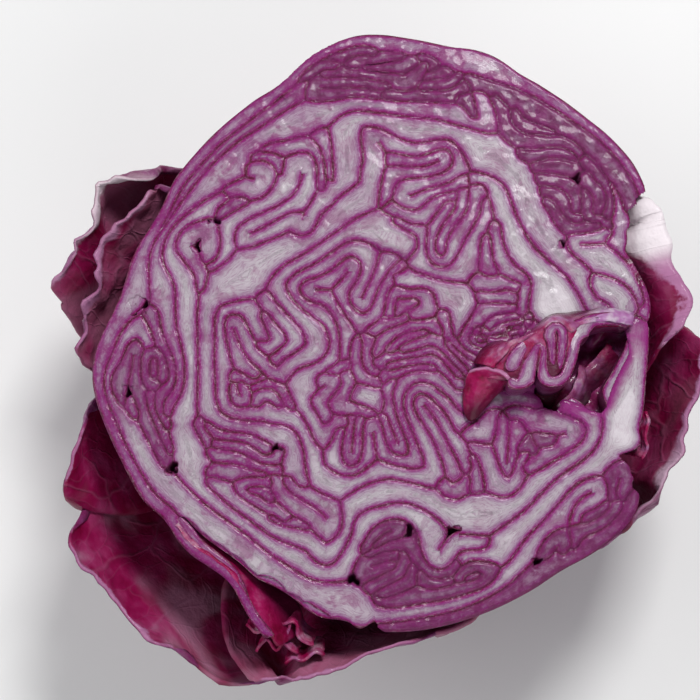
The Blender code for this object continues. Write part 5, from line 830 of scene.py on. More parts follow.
def cut_leaf_finish():
    """Skin on the sides; on the cut a dark skin line that passes through purple to pale flesh."""
    made, tree, shader, place = new_finish("cut_leaf", 0.3)
    inward = measured(tree, "skin_distance")
    half = measured(tree, "half_thickness")
    pale = measured(tree, "paleness")
    down = measured(tree, "below_cut")
    run = measured(tree, "run")
    coarse = mottle(tree, place, 7.5, 2.0, 0.55)
    middling = mottle(tree, place, 2.4)
    fine = mottle(tree, place, 0.55, 2.0, 0.6)
    wavering = sums(tree, "MULTIPLY_ADD", middling, 0.5, sums(tree, "MULTIPLY_ADD", fine, 0.35, -0.43))
    wavering = sums(tree, "MULTIPLY_ADD", coarse, 0.5, sums(tree, "ADD", wavering, -0.25))
    inward = sums(tree, "ADD", inward, wavering)
    flesh_thin = shades(tree, sums(tree, "MULTIPLY", inward, 0.5), (
        (0.0, 0.085, 0.0003, 0.018), (0.12, 0.155, 0.0006, 0.06), (0.26, 0.21, 0.003, 0.12),
        (0.4, 0.195, 0.02, 0.145), (0.6, 0.215, 0.066, 0.178), (0.9, 0.27, 0.145, 0.243)))
    flesh_rib = shades(tree, sums(tree, "MULTIPLY", inward, 0.3333), (
        (0.0, 0.085, 0.0004, 0.02), (0.08, 0.17, 0.001, 0.07), (0.17, 0.245, 0.011, 0.16),
        (0.28, 0.27, 0.11, 0.24), (0.45, 0.345, 0.255, 0.33), (0.7, 0.4, 0.345, 0.385),
        (1.0, 0.465, 0.42, 0.45)))
    fleshy = sums(tree, "MULTIPLY", rise(tree, half, 0.7, 2.1, 0.15, 1.0), pale)
    fleshy = sums(tree, "ADD", fleshy, sums(tree, "MULTIPLY_ADD", coarse, 1.1, -0.6))
    flesh = tint(tree, rise(tree, fleshy, 0.0, 0.95), flesh_thin, flesh_rib)
    grain = add_node(tree, "ShaderNodeCombineXYZ")
    feed(tree, grain.inputs[0], sums(tree, "MULTIPLY", run, 0.55))
    feed(tree, grain.inputs[1], sums(tree, "MULTIPLY", inward, 3.2))
    strands = add_node(tree, "ShaderNodeTexNoise", noise_dimensions="2D")
    feed(tree, strands.inputs["Vector"], grain.outputs[0])
    strands.inputs["Scale"].default_value = 1.0
    strands.inputs["Detail"].default_value = 3.0
    strand = strands.outputs["Fac"]
    lighter = sums(tree, "MULTIPLY", rise(tree, strand, 0.5, 0.7), rise(tree, pale, 0.2, 1.0, 0.16, 0.28))
    flesh = tint(tree, lighter, flesh, (0.5, 0.42, 0.48))
    flesh = tint(tree, rise(tree, strand, 0.5, 0.34, 0.0, 0.38), flesh, (0.2, 0.045, 0.15))
    stained = rise(tree, mottle(tree, place, 5.0, 3.0, 0.6, 0.4), 0.48, 0.64, 0.0, 0.75)
    stained = sums(tree, "MULTIPLY", stained, rise(tree, pale, 0.3, 1.0, 1.0, 0.15))
    flesh = tint(tree, stained, flesh, (0.2, 0.012, 0.125))
    flesh = tint(tree, rise(tree, fine, 0.5, 0.78, 0.0, 0.22), flesh, (0.42, 0.3, 0.4))
    thickest = sums(tree, "MULTIPLY", rise(tree, pale, 1.12, 1.3), rise(tree, inward, 1.0, 3.4))
    thickest = sums(tree, "MULTIPLY", thickest, rise(tree, half, 2.2, 4.6))
    flesh = tint(tree, thickest, flesh, (0.7, 0.64, 0.68))
    bruise = sums(tree, "ADD", measured(tree, "bruised"), sums(tree, "MULTIPLY_ADD", middling, 0.7, -0.42))
    flesh = tint(tree, rise(tree, bruise, 0.1, 0.85, 0.0, 0.85), flesh, (0.25, 0.018, 0.165))
    packed = sums(tree, "MULTIPLY", rise(tree, pale, 0.14, 0.4, 0.85, 0.0),
                  rise(tree, middling, 0.36, 0.62, 1.1, 0.5))
    flesh = tint(tree, packed, flesh, (0.13, 0.016, 0.078))
    skin, veins, waxy = skin_colour(tree, run, down, place)
    side = rise(tree, down, 0.05, 0.5)
    colour = tint(tree, side, flesh, skin)
    petiole = sums(tree, "MULTIPLY", rise(tree, down, 44.0, 66.0), rise(tree, coarse, 0.2, 0.6, 0.3, 0.9))
    colour = tint(tree, petiole, colour, PETIOLE)
    wet = sums(tree, "MULTIPLY_ADD", middling, 0.3, 0.2)
    relief = sums(tree, "ADD", sums(tree, "MULTIPLY", middling, 0.6), sums(tree, "MULTIPLY", fine, 0.3))
    relief = sums(tree, "MULTIPLY_ADD", strand, 0.35, relief)
    relief = sums(tree, "ADD", relief, sums(tree, "MULTIPLY", sums(tree, "MULTIPLY", veins, side), 0.5))
    surface(tree, shader, colour, wet, relief, 0.35)
    return made


HEAD_GROUPS = (
    RIM_LEAVES, RING_LEAVES, HEART_LEAVES, TOP_LEAVES, LEFT_LEAVES, RIGHT_LEAVES, BOTTOM_LEAVES,
    TOP_CRINKLES, HEART_CRINKLES, RIGHT_CRINKLES, LEFT_CRINKLES, BOTTOM_CRINKLES)
leaf_routes = {name: points for group in HEAD_GROUPS for name, (_, points) in group.items()}
leaf_paleness = {name: pale for group in HEAD_GROUPS for name, (pale, _) in group.items()}
pressed_leaves = press_together({**leaf_routes, "leaf_in_hollow": HOLLOW_LEAF})
cut_leaf = cut_leaf_finish()
for number, name in enumerate(leaf_routes):
    middle, across, left_width, right_width = pressed_leaves[name]
    nearest = min(np.hypot(*(middle + across * left_width[:, None]).T).min(),
                  np.hypot(*(middle - across * right_width[:, None]).T).min())
    depth = next(reach for least, reach in LEAF_REACH if nearest >= least)
    if name.startswith("crinkle"):
        depth = min(depth, CRINKLE_DEPTH)
    lean = None
    if name == "leaf_rim_1":
        lean = SPRUNG_LEAN * between(np.arange(len(middle)) * SAMPLE, SPRUNG_LENGTH, 0.0) ** 2
    leaf = leaf_body(name + "_seen", pressed_leaves[name], depth, leaf_paleness[name], LEAF_RUN * number,
                     EDGE_SINK, lean=lean)
    leaf.data.materials.append(cut_leaf)
    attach(leaf, "root")
    if name.startswith("leaf"):
        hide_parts(name)

# The cut face: the knife's own surface, where the cut edges of all the leaves meet. Each edge reaches
# to its neighbours, sinks a little at the skin between them, and falls away into the few open gaps.
FACE_CELL = 0.4
FACE_REACH = 78.0
SKIN_SNAP = 0.45  # a spot nearer to a skin than this share of a cell is drawn onto it
EDGE_SNAP = 0.8  # and one that is this far outside the leaves is drawn onto their edge
FACE_NEAR = 8.0  # how far round a spot the leaves that can reach it are looked for
FACE_BLOCK = 5.0  # spots are looked at in blocks of this size
FACE_FREE = 2.8  # how far a cut edge spreads where nothing meets it
FACE_EDGE = 0.1  # and at the hollow and the sprung leaf, where its skin is seen
FACE_FAR = 9.0  # stands for a skin that is too far off to show
NOT_THIS_ONE = 99.0  # and for a leaf that a spot doesn't meet
FACE_INSET = 0.35  # how far the face ends inside the head's outline
SKIN_STRIP = 0.1  # and how far inside it its own skin starts to show
FACE_LUMPS = ((0.3, 14.0, 1.3), (0.24, 5.0, 3.1), (0.12, 1.8, 7.7))  # height, size and seed
SKIN_CREASE = (0.3, 0.35)  # how deep the skin's crease is, and how much deeper in packed leaves
SKIN_CREASE_WIDTH = 0.32
FACE_LIFT = 0.12
GAP_DEPTH, GAP_RAGGED = 5.0, 1.6
LEAF_STEP = 0.22  # the most that one leaf stands higher than another
BRUISE_WIDTH = 4.6  # how far in from the hollow the cut edges are bruised
HOLLOW_OVAL = (50.0, -9.3, 12.5, 9.8)  # the hollow's middle and its reach to the right and to the back
# the small open gaps in the face, as x, y and reach
OPEN_GAPS = (
    (-38, 27, 0.9), (-42, 21, 0.9), (-56, 7, 1.5), (-58.5, -14.5, 1.0), (-23, -28.5, 0.8), (-48, -33, 1.1),
    (8.7, -48, 1.1), (18.7, -48, 1.2), (-4.5, -59.5, 1.0), (39, -55, 0.9), (50, 38, 0.9), (-22, 58, 0.8),
    (46, 22, 0.9))
# along the sprung leaf the face ends at its skin too
SPRUNG_GAP = [spot[:2] for spot in RIM_LEAVES["leaf_rim_1"][1][:8]] + [(-20, -67), (-14, -68.5), (-25, -63)]


def head_outline(kinds, window, steps):
    """The head's largest radius in each direction, by the leaves of these kinds."""
    edges = []
    for name in leaf_routes:
        if name.startswith(kinds):
            middle, across, left_width, right_width = pressed_leaves[name]
            edges += [middle + across * left_width[:, None], middle - across * right_width[:, None]]
    edges = np.vstack(edges)
    angle = np.arctan2(edges[:, 1], edges[:, 0])
    radius = np.hypot(edges[:, 0], edges[:, 1])
    directions = np.linspace(-math.pi, math.pi, steps)
    outline = []
    for direction in directions:
        apart = np.abs((angle - direction + math.pi) % (2 * math.pi) - math.pi)
        outline.append(radius[apart < math.radians(window)].max())
    return lambda a: np.interp((a + math.pi) % (2 * math.pi) - math.pi, directions, outline)


def nearest_edges(spots):
    """What each spot of the face has to know about the leaf that it is in.

    How far it is from the skin; the sample of the leaf it is in; how far outside that leaf's reach it is;
    its way to the skin, and outward from the leaf; and half the thickness, paleness and leaf of each sample.
    """
    lines = [pressed_leaves[name][0] for name in leaf_routes]
    middles = np.vstack(lines)
    owner = np.concatenate([np.full(len(line), k) for k, line in enumerate(lines)])
    reach = np.concatenate([leaf_line(points)[:, 2] for points in leaf_routes.values()])
    half = np.concatenate([(pressed_leaves[name][2] + pressed_leaves[name][3]) / 2 for name in leaf_routes])
    pale = np.concatenate([np.full(len(line), leaf_paleness[name]) for name, line in zip(leaf_routes, lines)])
    skin, away = np.full(len(spots), FACE_FAR), np.full(len(spots), NOT_THIS_ONE)
    own = np.zeros(len(spots), int)
    shift, outward = np.zeros((len(spots), 2)), np.zeros((len(spots), 2))
    blocks = np.floor(spots / FACE_BLOCK).astype(int)
    order = np.lexsort((blocks[:, 1], blocks[:, 0]))
    ends = np.flatnonzero(np.any(np.diff(blocks[order], axis=0), axis=1)) + 1
    for block in np.split(order, ends):
        middle = (blocks[block[0]] + 0.5) * FACE_BLOCK
        close = np.flatnonzero(np.abs(middles - middle).max(axis=1) < FACE_NEAR + FACE_BLOCK / 2)
        if not len(close):
            continue
        apart = spots[block][:, None] - middles[close][None]
        far = np.sqrt((apart ** 2).sum(axis=2)) + 1e-9
        outside = far - reach[close]
        best = outside.argmin(axis=1)
        rows = np.arange(len(block))
        mine = close[best]
        # the same leaf counts as its own neighbour only where it has folded back to this spot
        along = np.abs(close[None] - mine[:, None]) * SAMPLE
        chord = np.hypot(*np.moveaxis(middles[close][None] - middles[mine][:, None], 2, 0))
        friend = (owner[close][None] == owner[mine][:, None]) & (along < 1.5 * chord + 1.1)
        others = np.where(friend, NOT_THIS_ONE, outside)
        rival = others.argmin(axis=1)
        gap = (others[rows, rival] - outside[rows, best]) / 2
        from_rival = apart[rows, rival] / far[rows, rival][:, None]
        from_mine = apart[rows, best] / far[rows, best][:, None]
        slope = (from_rival - from_mine) / 2
        steep = np.maximum((slope ** 2).sum(axis=1), 0.15)
        skin[block] = np.minimum(gap / np.sqrt(steep), FACE_FAR)
        shift[block] = -slope * (gap / steep)[:, None]
        own[block], away[block] = mine, outside[rows, best]
        outward[block] = from_mine
    return skin, own, away, shift, outward, half, pale, owner


def cut_face():
    """The joined cut face: a fine grid that is kept where leaves are and drawn onto their edges."""
    spans = np.arange(-FACE_REACH, FACE_REACH, FACE_CELL)
    x, y = np.meshgrid(spans, spans)
    spots = np.column_stack([x.ravel(), y.ravel()])
    skin, own, away, shift, outward, half, pale, owner = nearest_edges(spots)
    to_skin = skin < SKIN_SNAP * FACE_CELL
    spots[to_skin] += shift[to_skin]
    skin[to_skin] = 0.0
    middle_x, middle_y, reach_x, reach_y = HOLLOW_OVAL
    hollow = np.hypot((spots[:, 0] - middle_x) / reach_x, (spots[:, 1] - middle_y) / reach_y)
    open_side = between(hollow, 1.0, 1.3)
    for gap_x, gap_y in SPRUNG_GAP:
        apart = np.hypot(spots[:, 0] - gap_x, spots[:, 1] - gap_y)
        open_side = np.minimum(open_side, between(apart, 4.0, 6.0))
    limit = FACE_EDGE + (FACE_FREE - FACE_EDGE) * open_side
    radius = np.hypot(spots[:, 0], spots[:, 1])
    beyond = away - limit
    too_far = radius - cut_outline(np.arctan2(spots[:, 1], spots[:, 0])) + FACE_INSET
    kept = ((beyond < EDGE_SNAP * FACE_CELL) & (too_far < EDGE_SNAP * FACE_CELL)).reshape(x.shape)
    spots -= outward * np.clip(beyond, 0.0, FACE_CELL)[:, None]
    spots *= (1.0 - np.clip(too_far, 0.0, FACE_CELL) / radius)[:, None]
    free_edge = np.where(open_side < 0.6, -beyond, FACE_FAR)
    skin = np.minimum(skin, np.clip(np.minimum(free_edge, SKIN_STRIP - too_far), 0.0, None))
    cells = np.argwhere(kept[:-1, :-1] & kept[1:, :-1] & kept[:-1, 1:] & kept[1:, 1:])
    columns = x.shape[1]
    near_left = cells[:, 0] * columns + cells[:, 1]
    far_left = near_left + columns
    quads = np.stack([near_left, near_left + 1, far_left + 1, far_left], 1)
    used, places = np.unique(quads, return_inverse=True)
    places = places.reshape(quads.shape)
    spots, skin, own, away, hollow, beyond = (
        field[used] for field in (spots, skin, own, away, hollow, beyond))
    pit = np.zeros(len(used))
    ragged = np.array([unevenness(px, py, 1.3, 2.2) for px, py in spots])
    for gap_x, gap_y, reach in OPEN_GAPS:
        near = np.hypot(spots[:, 0] - gap_x, spots[:, 1] - gap_y) / reach + GAP_RAGGED * ragged
        fallen = np.clip(1.5 - near, 0.0, 1.0)
        pit = np.maximum(pit, GAP_DEPTH * fallen ** 2 * (3.0 - 2.0 * fallen))
    lost = between(away, 0.9, FACE_FREE)
    bumps = np.array([lumps(px, py, FACE_LUMPS) for px, py in spots])
    step = LEAF_STEP * (((owner[own] * 0.618) % 1.0) - 0.5) * between(skin, 0.0, 0.5)
    crease = SKIN_CREASE[0] + SKIN_CREASE[1] * between(pale[own], 0.5, 0.0)
    crease = crease * np.exp(-(skin / SKIN_CREASE_WIDTH) ** 2)
    plump = 0.05 * np.minimum(half[own], 3.0)
    level = FACE_LIFT + bumps + step + plump - crease - 0.9 * lost ** 1.5 - pit
    bruised = between(hollow, 1.7, 1.4) * between(beyond, -BRUISE_WIDTH, 0.0)
    # the thick rib beside the hollow is bruised at its upper end too
    x, y = spots.T
    rib_end = between(y, -13.0, -2.0) * between(x, 59.0, 62.0) * between(y, 4.0, 2.0)
    bruised = np.maximum(bruised, 0.75 * rib_end)
    points = np.column_stack([spots, HEAD_DEPTH + level])
    return bare_mesh("cut_face", points, places.tolist(), skin_distance=skin, half_thickness=half[own],
                     paleness=pale[own] * (1.0 - 0.5 * lost) * (1.0 - 0.7 * bruised), below_cut=pit,
                     run=own * SAMPLE, bruised=bruised)


outline = head_outline("leaf", 5.0, 121)
cut_outline = head_outline(("leaf", "crinkle"), 0.9, 721)
face = cut_face()
face.data.materials.append(cut_leaf)
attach(face, "root")

# The stalk: the stump that the leaves grew on, cut flat at the foot where the head was taken from the
# plant. It is pale and fibrous, with a woody ring round a softer middle and the scars of lost leaves.

# its outline as radius and height, from the foot up, and the scars as turn in degrees and height
STALK_LINE = ((15.0, 0.0), (15.8, 0.35), (16.3, 1.2), (16.8, 3.0), (17.2, 6.0), (17.8, 9.5), (18.8, 12.5),
              (19.8, 16.5), (20.2, 21.0), (19.8, 26.0), (18.4, 28.9), (9.0, 29.2), (8.0, 31.0), (7.0, 42.0),
              (5.0, 50.0), (2.0, 52.5))
STALK_SCARS = ((20.0, 7.0), (130.0, 5.5), (255.0, 8.5), (320.0, 4.5), (75.0, 13.0), (195.0, 12.0))
STALK_SIDES = 96
SCAR_BULGE, SCAR_TURN, SCAR_RISE = 0.9, 26.0, 1.8  # how far a scar stands out, and its reach
# the waves round it: how far out, how many, how they turn with the height, and where they start
STALK_WAVES = ((0.35, 3, 0.21, 0.0), (0.25, 7, 0.0, 1.0))
STALK_ROUGH = (1.0, 29.0)  # the heights between which it is uneven


def stalk_finish():
    """Wood in rings on the foot and streaked, partly purple skin on the side."""
    made, tree, shader, place = new_finish("stalk_flesh", 0.1)
    centre = measured(tree, "from_middle")
    height = measured(tree, "height")
    fibres = add_node(tree, "ShaderNodeMapping")
    feed(tree, fibres.inputs["Vector"], place)
    fibres.inputs["Scale"].default_value = (1.0, 1.0, 0.12)
    streaks = mottle(tree, fibres.outputs[0], 1.1)
    broad = mottle(tree, place, 6.0, 3.0, 0.55)
    side = shades(tree, streaks, (
        (0.3, 0.33, 0.2, 0.22), (0.45, 0.52, 0.4, 0.36), (0.6, 0.66, 0.57, 0.47), (0.75, 0.74, 0.68, 0.56)))
    side = tint(tree, rise(tree, broad, 0.4, 0.7, 0.0, 0.6), side, (0.42, 0.2, 0.32))
    wood = shades(tree, sums(tree, "MULTIPLY_ADD", broad, 0.08, sums(tree, "MULTIPLY", centre, 0.05)), (
        (0.0, 0.62, 0.55, 0.42), (0.45, 0.66, 0.6, 0.46), (0.6, 0.76, 0.72, 0.58), (0.68, 0.5, 0.45, 0.3),
        (0.78, 0.7, 0.64, 0.5), (0.84, 0.38, 0.2, 0.24), (0.9, 0.32, 0.1, 0.2)))
    colour = tint(tree, rise(tree, height, 0.1, 0.6), wood, side)
    relief = sums(tree, "ADD", streaks, sums(tree, "MULTIPLY", broad, 0.6))
    surface(tree, shader, colour, 0.55, relief, 0.5)
    return made


rings, from_middle, heights = [], [], []
for radius, height in STALK_LINE:
    for k in range(STALK_SIDES):
        angle = 2.0 * math.pi * k / STALK_SIDES
        out = radius
        if STALK_ROUGH[0] < height < STALK_ROUGH[1]:
            out += sum(wave * math.sin(count * angle + height * twist + start)
                       for wave, count, twist, start in STALK_WAVES)
            for turn, level in STALK_SCARS:
                apart = abs((math.degrees(angle) - turn + 180.0) % 360.0 - 180.0)
                out += SCAR_BULGE * math.exp(-(apart / SCAR_TURN) ** 2 - ((height - level) / SCAR_RISE) ** 2)
        rings.append((out * math.cos(angle), out * math.sin(angle), height))
        from_middle.append(radius)
        heights.append(height)
stalk = bare_mesh("stalk_seen", rings, ring_faces(len(STALK_LINE), STALK_SIDES),
                  from_middle=from_middle, height=heights)
stalk.data.materials.append(stalk_finish())
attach(stalk, "root")
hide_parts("stalk")

# The loose outer leaves: the last wrapper leaves, thinner and tougher than the rest, cut through with
# the head and sprung away from it. Their edges are torn and frilled, and their skin is wine red.
WRAPPER_THICKNESS = 0.95
WRAPPER_SHARES = (0.75, 0.9, 60.0)  # of that: at the rim, and how much more of it this far down
WRAPPER_SAMPLE = 1.0
WRAPPER_ROWS = 40
WRAPPER_CLEARANCE = (1.9, 4.6)  # from the head, for the inner and the outer layer
WRAPPER_SPREAD = 1.3  # and how much more of it at the foot
WRAPPER_TUCK = 66.5  # the upper right one is tucked under the head's rim, to this radius
WRAPPER_FOOT = 67.66
WRAPPER_RUN = 97.0  # where the next leaf's veins start along the same net
ROWS_TO_RIM = 1.15  # by this power its rows lie closer together near the rim
BUCKLE_SIZE, CRUMPLE_SIZE = 9.0, 3.4
BUCKLE_OUT, BUCKLE_UP = (0.5, 1.6), 0.5  # outward everywhere and more at the rim, and up at the rim
CRUMPLE_OUT, CRUMPLE_UP = (0.15, 0.7), 0.9
RIM_LOOSENESS = 5.0  # how quickly the ruffling ends below the rim
# how a loose leaf usually goes: how quickly it turns up to its rim, how level it lies behind its rim,
# how far its corners are rounded, how ruffled its rim is, how much of its inner face has patches of pale
# bloom with painted highlight, and how wide its pale band is, at even places along the rim
USUAL_WAY = {"flare": 1.5, "shelf": 1.0, "corner": 9.0, "ruffle": 1.0, "patches": 1.0, "pale_band": (1.2,)}
# what is its own, and how many degrees wider it is lower down, past the start and the end of its rim
WRAPPER_WAYS = {
    "wrapper_left_inner": {"breadths": (9.0, 4.0), "ruffle": 2.2, "pale_band": (3.0, 2.0)},
    "wrapper_left_outer": {"breadths": (9.0, 7.0), "ruffle": 2.2, "pale_band": (5.0, 5.0, 3.5, 2.5)},
    "wrapper_left_low": {"breadths": (9.0, 7.0)},
    "wrapper_cup": {"breadths": (7.0, 20.0), "patches": 1.6},
    "wrapper_bottom": {"breadths": (14.0, 12.0)},
    "wrapper_right_high": {
        "breadths": (3.0, 6.0), "flare": 8.0, "shelf": 1.5, "corner": 4.0, "patches": 0.0,
        "pale_band": (14.0, 12.0, 7.0, 3.0, 1.3, 1.2, 2.2, 2.6)},
    "wrapper_right_low": {
        "breadths": (9.0, 9.0), "flare": 4.0, "patches": 0.35,
        "pale_band": (1.2, 1.2, 1.6, 2.6, 3.6, 3.4, 2.0)},
}
# its layer from the inside, and its rim from end to end as x, y and height over the cut
WRAPPERS = {
    "wrapper_left_inner": (0, [
        (-50.9, 37.1, -1), (-54.5, 35.8, -1.5), (-56.1, 32.3, -2), (-57.6, 28.5, -2),
        (-61.3, 24.8, -2.5), (-64.6, 20.9, -3), (-66.6, 16.5, -3), (-68.3, 12, -5), (-70, 6.8, -7),
        (-71.3, 0.7, -9), (-71.6, -6.3, -10)]),
    "wrapper_left_outer": (1, [
        (-52.6, 41.2, -2), (-56.2, 41, -2), (-60.7, 39.4, -2), (-65.9, 37.4, -3), (-69, 34.8, -3),
        (-69.8, 31.6, -4), (-70.4, 28, -4), (-72.1, 24.6, -5), (-74.4, 21, -7), (-76.9, 15.9, -9),
        (-78.4, 10.4, -12)]),
    "wrapper_left_low": (0, [
        (-68.6, -16.8, -8), (-70.6, -23.1, -7), (-72.5, -29.3, -6), (-73.9, -35.4, -6),
        (-74.6, -40.2, -8)]),
    "wrapper_cup": (1, [
        (-71.3, -44.4, -9), (-72.5, -48.9, -9), (-70.4, -53.7, -10), (-67, -58.8, -11),
        (-62.5, -64.1, -12), (-56.9, -69.2, -12), (-50.6, -73.9, -12), (-43.7, -77.8, -13)]),
    "wrapper_bottom": (0, [
        (15.6, -72.6, -3), (8.6, -73.6, -3), (1.1, -75.9, -4), (-7, -78.7, -5), (-15.1, -81.3, -6),
        (-23.3, -82.6, -8), (-31.6, -81.9, -10)]),
    "wrapper_right_high": (0, [
        (66.9, 35.2, -1.5), (68.8, 31.9, -1), (70.6, 27.2, -1), (72.6, 22, -1), (74.6, 16.4, -1),
        (76.2, 11.2, -1), (76.8, 7.4, -1), (75.8, 4, -1), (73.4, 1.2, -1), (70.8, -1, -1),
        (69.8, -3.2, -1)]),
    "wrapper_right_low": (1, [
        (79.5, 2.8, -7), (80.1, -4.8, -7), (79.7, -12.8, -8), (77.8, -20.3, -8), (75, -27.4, -8),
        (71.7, -34, -9), (67.6, -40.6, -10), (62.7, -47, -12)]),
}


def thickened(grid, thickness):
    """The two faces of a sheet, half the thickness to each side of its middle surface."""
    down = np.gradient(grid, axis=0)
    along = np.gradient(grid, axis=1)
    normal = np.cross(along, down)
    normal /= np.linalg.norm(normal, axis=2)[:, :, None] + 1e-12
    half = np.asarray(thickness)[..., None] / 2
    return grid + normal * half, grid - normal * half


def sheet_body(name, grid, thickness, clockwise=False, **spots):
    """A thin closed sheet round a grid of points, with the same numbers on both faces.

    One more number, outside, tells the face that looks away from the head. The side it is on depends on
    whether the columns run clockwise round the head.
    """
    rows, columns = grid.shape[:2]
    one, other = thickened(grid, thickness)
    far = rows * columns
    at = np.arange(far).reshape(rows, columns)
    faces = []
    for row in range(rows - 1):
        for column in range(columns - 1):
            a, b = at[row, column], at[row, column + 1]
            d, c = at[row + 1, column], at[row + 1, column + 1]
            faces += [(a, b, c, d), (far + d, far + c, far + b, far + a)]
    border = list(at[0, :]) + list(at[1:, -1]) + list(at[-1, -2::-1]) + list(at[-2:0:-1, 0])
    for p, q in zip(border, border[1:] + border[:1]):
        faces.append((q, p, far + p, far + q))
    faces = [tuple(int(k) for k in face) for face in faces]
    both = {spot: np.concatenate([np.ravel(values), np.ravel(values)]) for spot, values in spots.items()}
    both["outside"] = np.concatenate([np.full(far, float(clockwise)), np.full(far, float(not clockwise))])
    return bare_mesh(name, np.vstack([one.reshape(-1, 3), other.reshape(-1, 3)]), faces, **both)


def wrapper_grid(way, layer, rim, hugged, seed):
    """A loose leaf's middle surface: it leans away at its rim and hugs the head lower down."""
    rim = smooth_line(rim, WRAPPER_SAMPLE)
    angle = np.unwrap(np.arctan2(rim[:, 1], rim[:, 0]))
    run = np.concatenate([[0.0], np.cumsum(np.hypot(*np.diff(rim[:, :2], axis=0).T))])
    even = angle[0] + (angle[-1] - angle[0]) * run / run[-1]
    corner = between(np.minimum(run, run[-1] - run), way["corner"], 0.0)
    ragged = np.array([unevenness(r, seed, 4.0, seed) for r in run])
    torn_off = way["corner"] * (1.0 - np.sqrt(1.0 - corner ** 2)) + 0.8 * np.abs(ragged)
    first, last = way["breadths"]
    turning = math.copysign(1.0, angle[-1] - angle[0])
    middle_out = np.linspace(-1.0, 1.0, len(run))
    spread = np.radians(np.interp(middle_out, (-1, 0, 1), (-first, 0, last))) * turning
    clearance = WRAPPER_CLEARANCE[layer]
    rim_depth = -rim[:, 2]
    flare = np.hypot(rim[:, 0], rim[:, 1]) - hugged(angle) * scale_at(rim_depth) - clearance
    rows, depths = [], []
    for row in range(WRAPPER_ROWS):
        share = (row / (WRAPPER_ROWS - 1)) ** ROWS_TO_RIM
        depth = rim_depth + torn_off + (WRAPPER_FOOT - rim_depth - torn_off) * share ** way["shelf"]
        turned = angle + (even - angle) * share ** 0.6
        turned = turned + spread * math.sin(math.pi * min(1.0, share * 1.25))
        lean = flare * (1.0 - share) ** way["flare"] + clearance * WRAPPER_SPREAD * share ** 3
        buckle = np.array([unevenness(r, d, BUCKLE_SIZE, seed) for r, d in zip(run, depth)])
        crumple = np.array([unevenness(r, d, CRUMPLE_SIZE, seed + 5.0) for r, d in zip(run, depth)])
        loose = math.exp(-share * RIM_LOOSENESS) * way["ruffle"]
        radius = hugged(turned) * scale_at(depth) + clearance + lean
        for bend, (steady, at_rim) in ((buckle, BUCKLE_OUT), (crumple, CRUMPLE_OUT)):
            radius = radius + bend * (steady + at_rim * loose)
        ruffle = crumple * CRUMPLE_UP * loose + BUCKLE_UP * buckle * loose
        rows.append(np.column_stack([radius * np.cos(turned), radius * np.sin(turned),
                                     HEAD_DEPTH - depth + ruffle]))
        depths.append(depth - rim_depth)
    return np.array(rows), np.array(depths), run


def wrapper_finish():
    """Deep red inside and veined purple outside, with a pale frayed band along the rim."""
    made, tree, shader, place = new_finish("wrapper_skin", 0.18)
    run = measured(tree, "run")
    down = measured(tree, "from_rim")
    outside = measured(tree, "outside")
    skin, veins, waxy = skin_colour(tree, run, down, place, 0.045, 0.3)
    inner = shades(tree, mottle(tree, place, 11.0), (
        (0.3, 0.165, 0.002, 0.03), (0.48, 0.24, 0.006, 0.062), (0.62, 0.3, 0.03, 0.115),
        (0.78, 0.38, 0.13, 0.23)))
    # pale grey-pink patches on the inner face: waxy bloom, with a painted soft highlight in it
    bloom_and_sheen = rise(tree, mottle(tree, place, 19.0, 2.0, 0.5, 0.6), 0.46, 0.66, 0.0, 0.5)
    patches = measured(tree, "patches")
    inner = tint(tree, sums(tree, "MULTIPLY", bloom_and_sheen, patches), inner, (0.42, 0.19, 0.29))
    inner = tint(tree, sums(tree, "MULTIPLY_ADD", patches, -0.32, 0.32), inner, DARK_SKIN_AND_SHADE)
    inner = tint(tree, sums(tree, "MULTIPLY", veins, 0.1), inner, VEIN)
    colour = tint(tree, outside, inner, skin)
    fray = mottle(tree, place, 2.5)
    frayed = sums(tree, "ADD", down, sums(tree, "MULTIPLY_ADD", fray, 2.6, -1.3))
    band = measured(tree, "pale_band")
    rim = sums(tree, "MULTIPLY", rise(tree, sums(tree, "DIVIDE", frayed, band), 0.45, 1.0, 1.0, 0.0), 0.88)
    rim = sums(tree, "MULTIPLY", rim, sums(tree, "MULTIPLY_ADD", outside, -0.75, 1.0))
    pale_rim = tint(tree, rise(tree, band, 2.0, 6.0), (0.4, 0.17, 0.32), (0.86, 0.8, 0.83))
    colour = tint(tree, rim, colour, pale_rim)
    colour = tint(tree, rise(tree, down, 44.0, 62.0, 0.0, 0.75), colour, PETIOLE)
    roughness = sums(tree, "MULTIPLY_ADD", waxy, 0.35, 0.17)
    relief = sums(tree, "ADD", sums(tree, "MULTIPLY", veins, 0.3), mottle(tree, place, 4.0))
    surface(tree, shader, colour, roughness, relief, 0.55)
    return made


rim_outline = head_outline("leaf", 2.5, 181)


def tucked_outline(angle):
    return np.minimum(rim_outline(angle), WRAPPER_TUCK)


wrapper_skin = wrapper_finish()
for number, (name, (layer, rim)) in enumerate(WRAPPERS.items()):
    way = {**USUAL_WAY, **WRAPPER_WAYS[name]}
    hugged = tucked_outline if name == "wrapper_right_high" else outline
    grid, from_rim, run = wrapper_grid(way, layer, rim, hugged, 11.0 + 3.7 * number)
    at_rim, more, this_far = WRAPPER_SHARES
    thin = WRAPPER_THICKNESS * (at_rim + more * between(from_rim, 0.0, this_far))
    bands = way["pale_band"]
    band = np.interp(run / run[-1], np.linspace(0.0, 1.0, len(bands)), bands)
    clockwise = rim[0][0] * rim[-1][1] < rim[0][1] * rim[-1][0]
    wrapper = sheet_body(name + "_seen", grid, thin, clockwise, from_rim=from_rim,
                         pale_band=np.broadcast_to(band, from_rim.shape),
                         patches=np.full(from_rim.shape, way["patches"]),
                         run=np.broadcast_to(run + WRAPPER_RUN * number, from_rim.shape))
    wrapper.data.materials.append(wrapper_skin)
    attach(wrapper, "root")
    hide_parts(name)

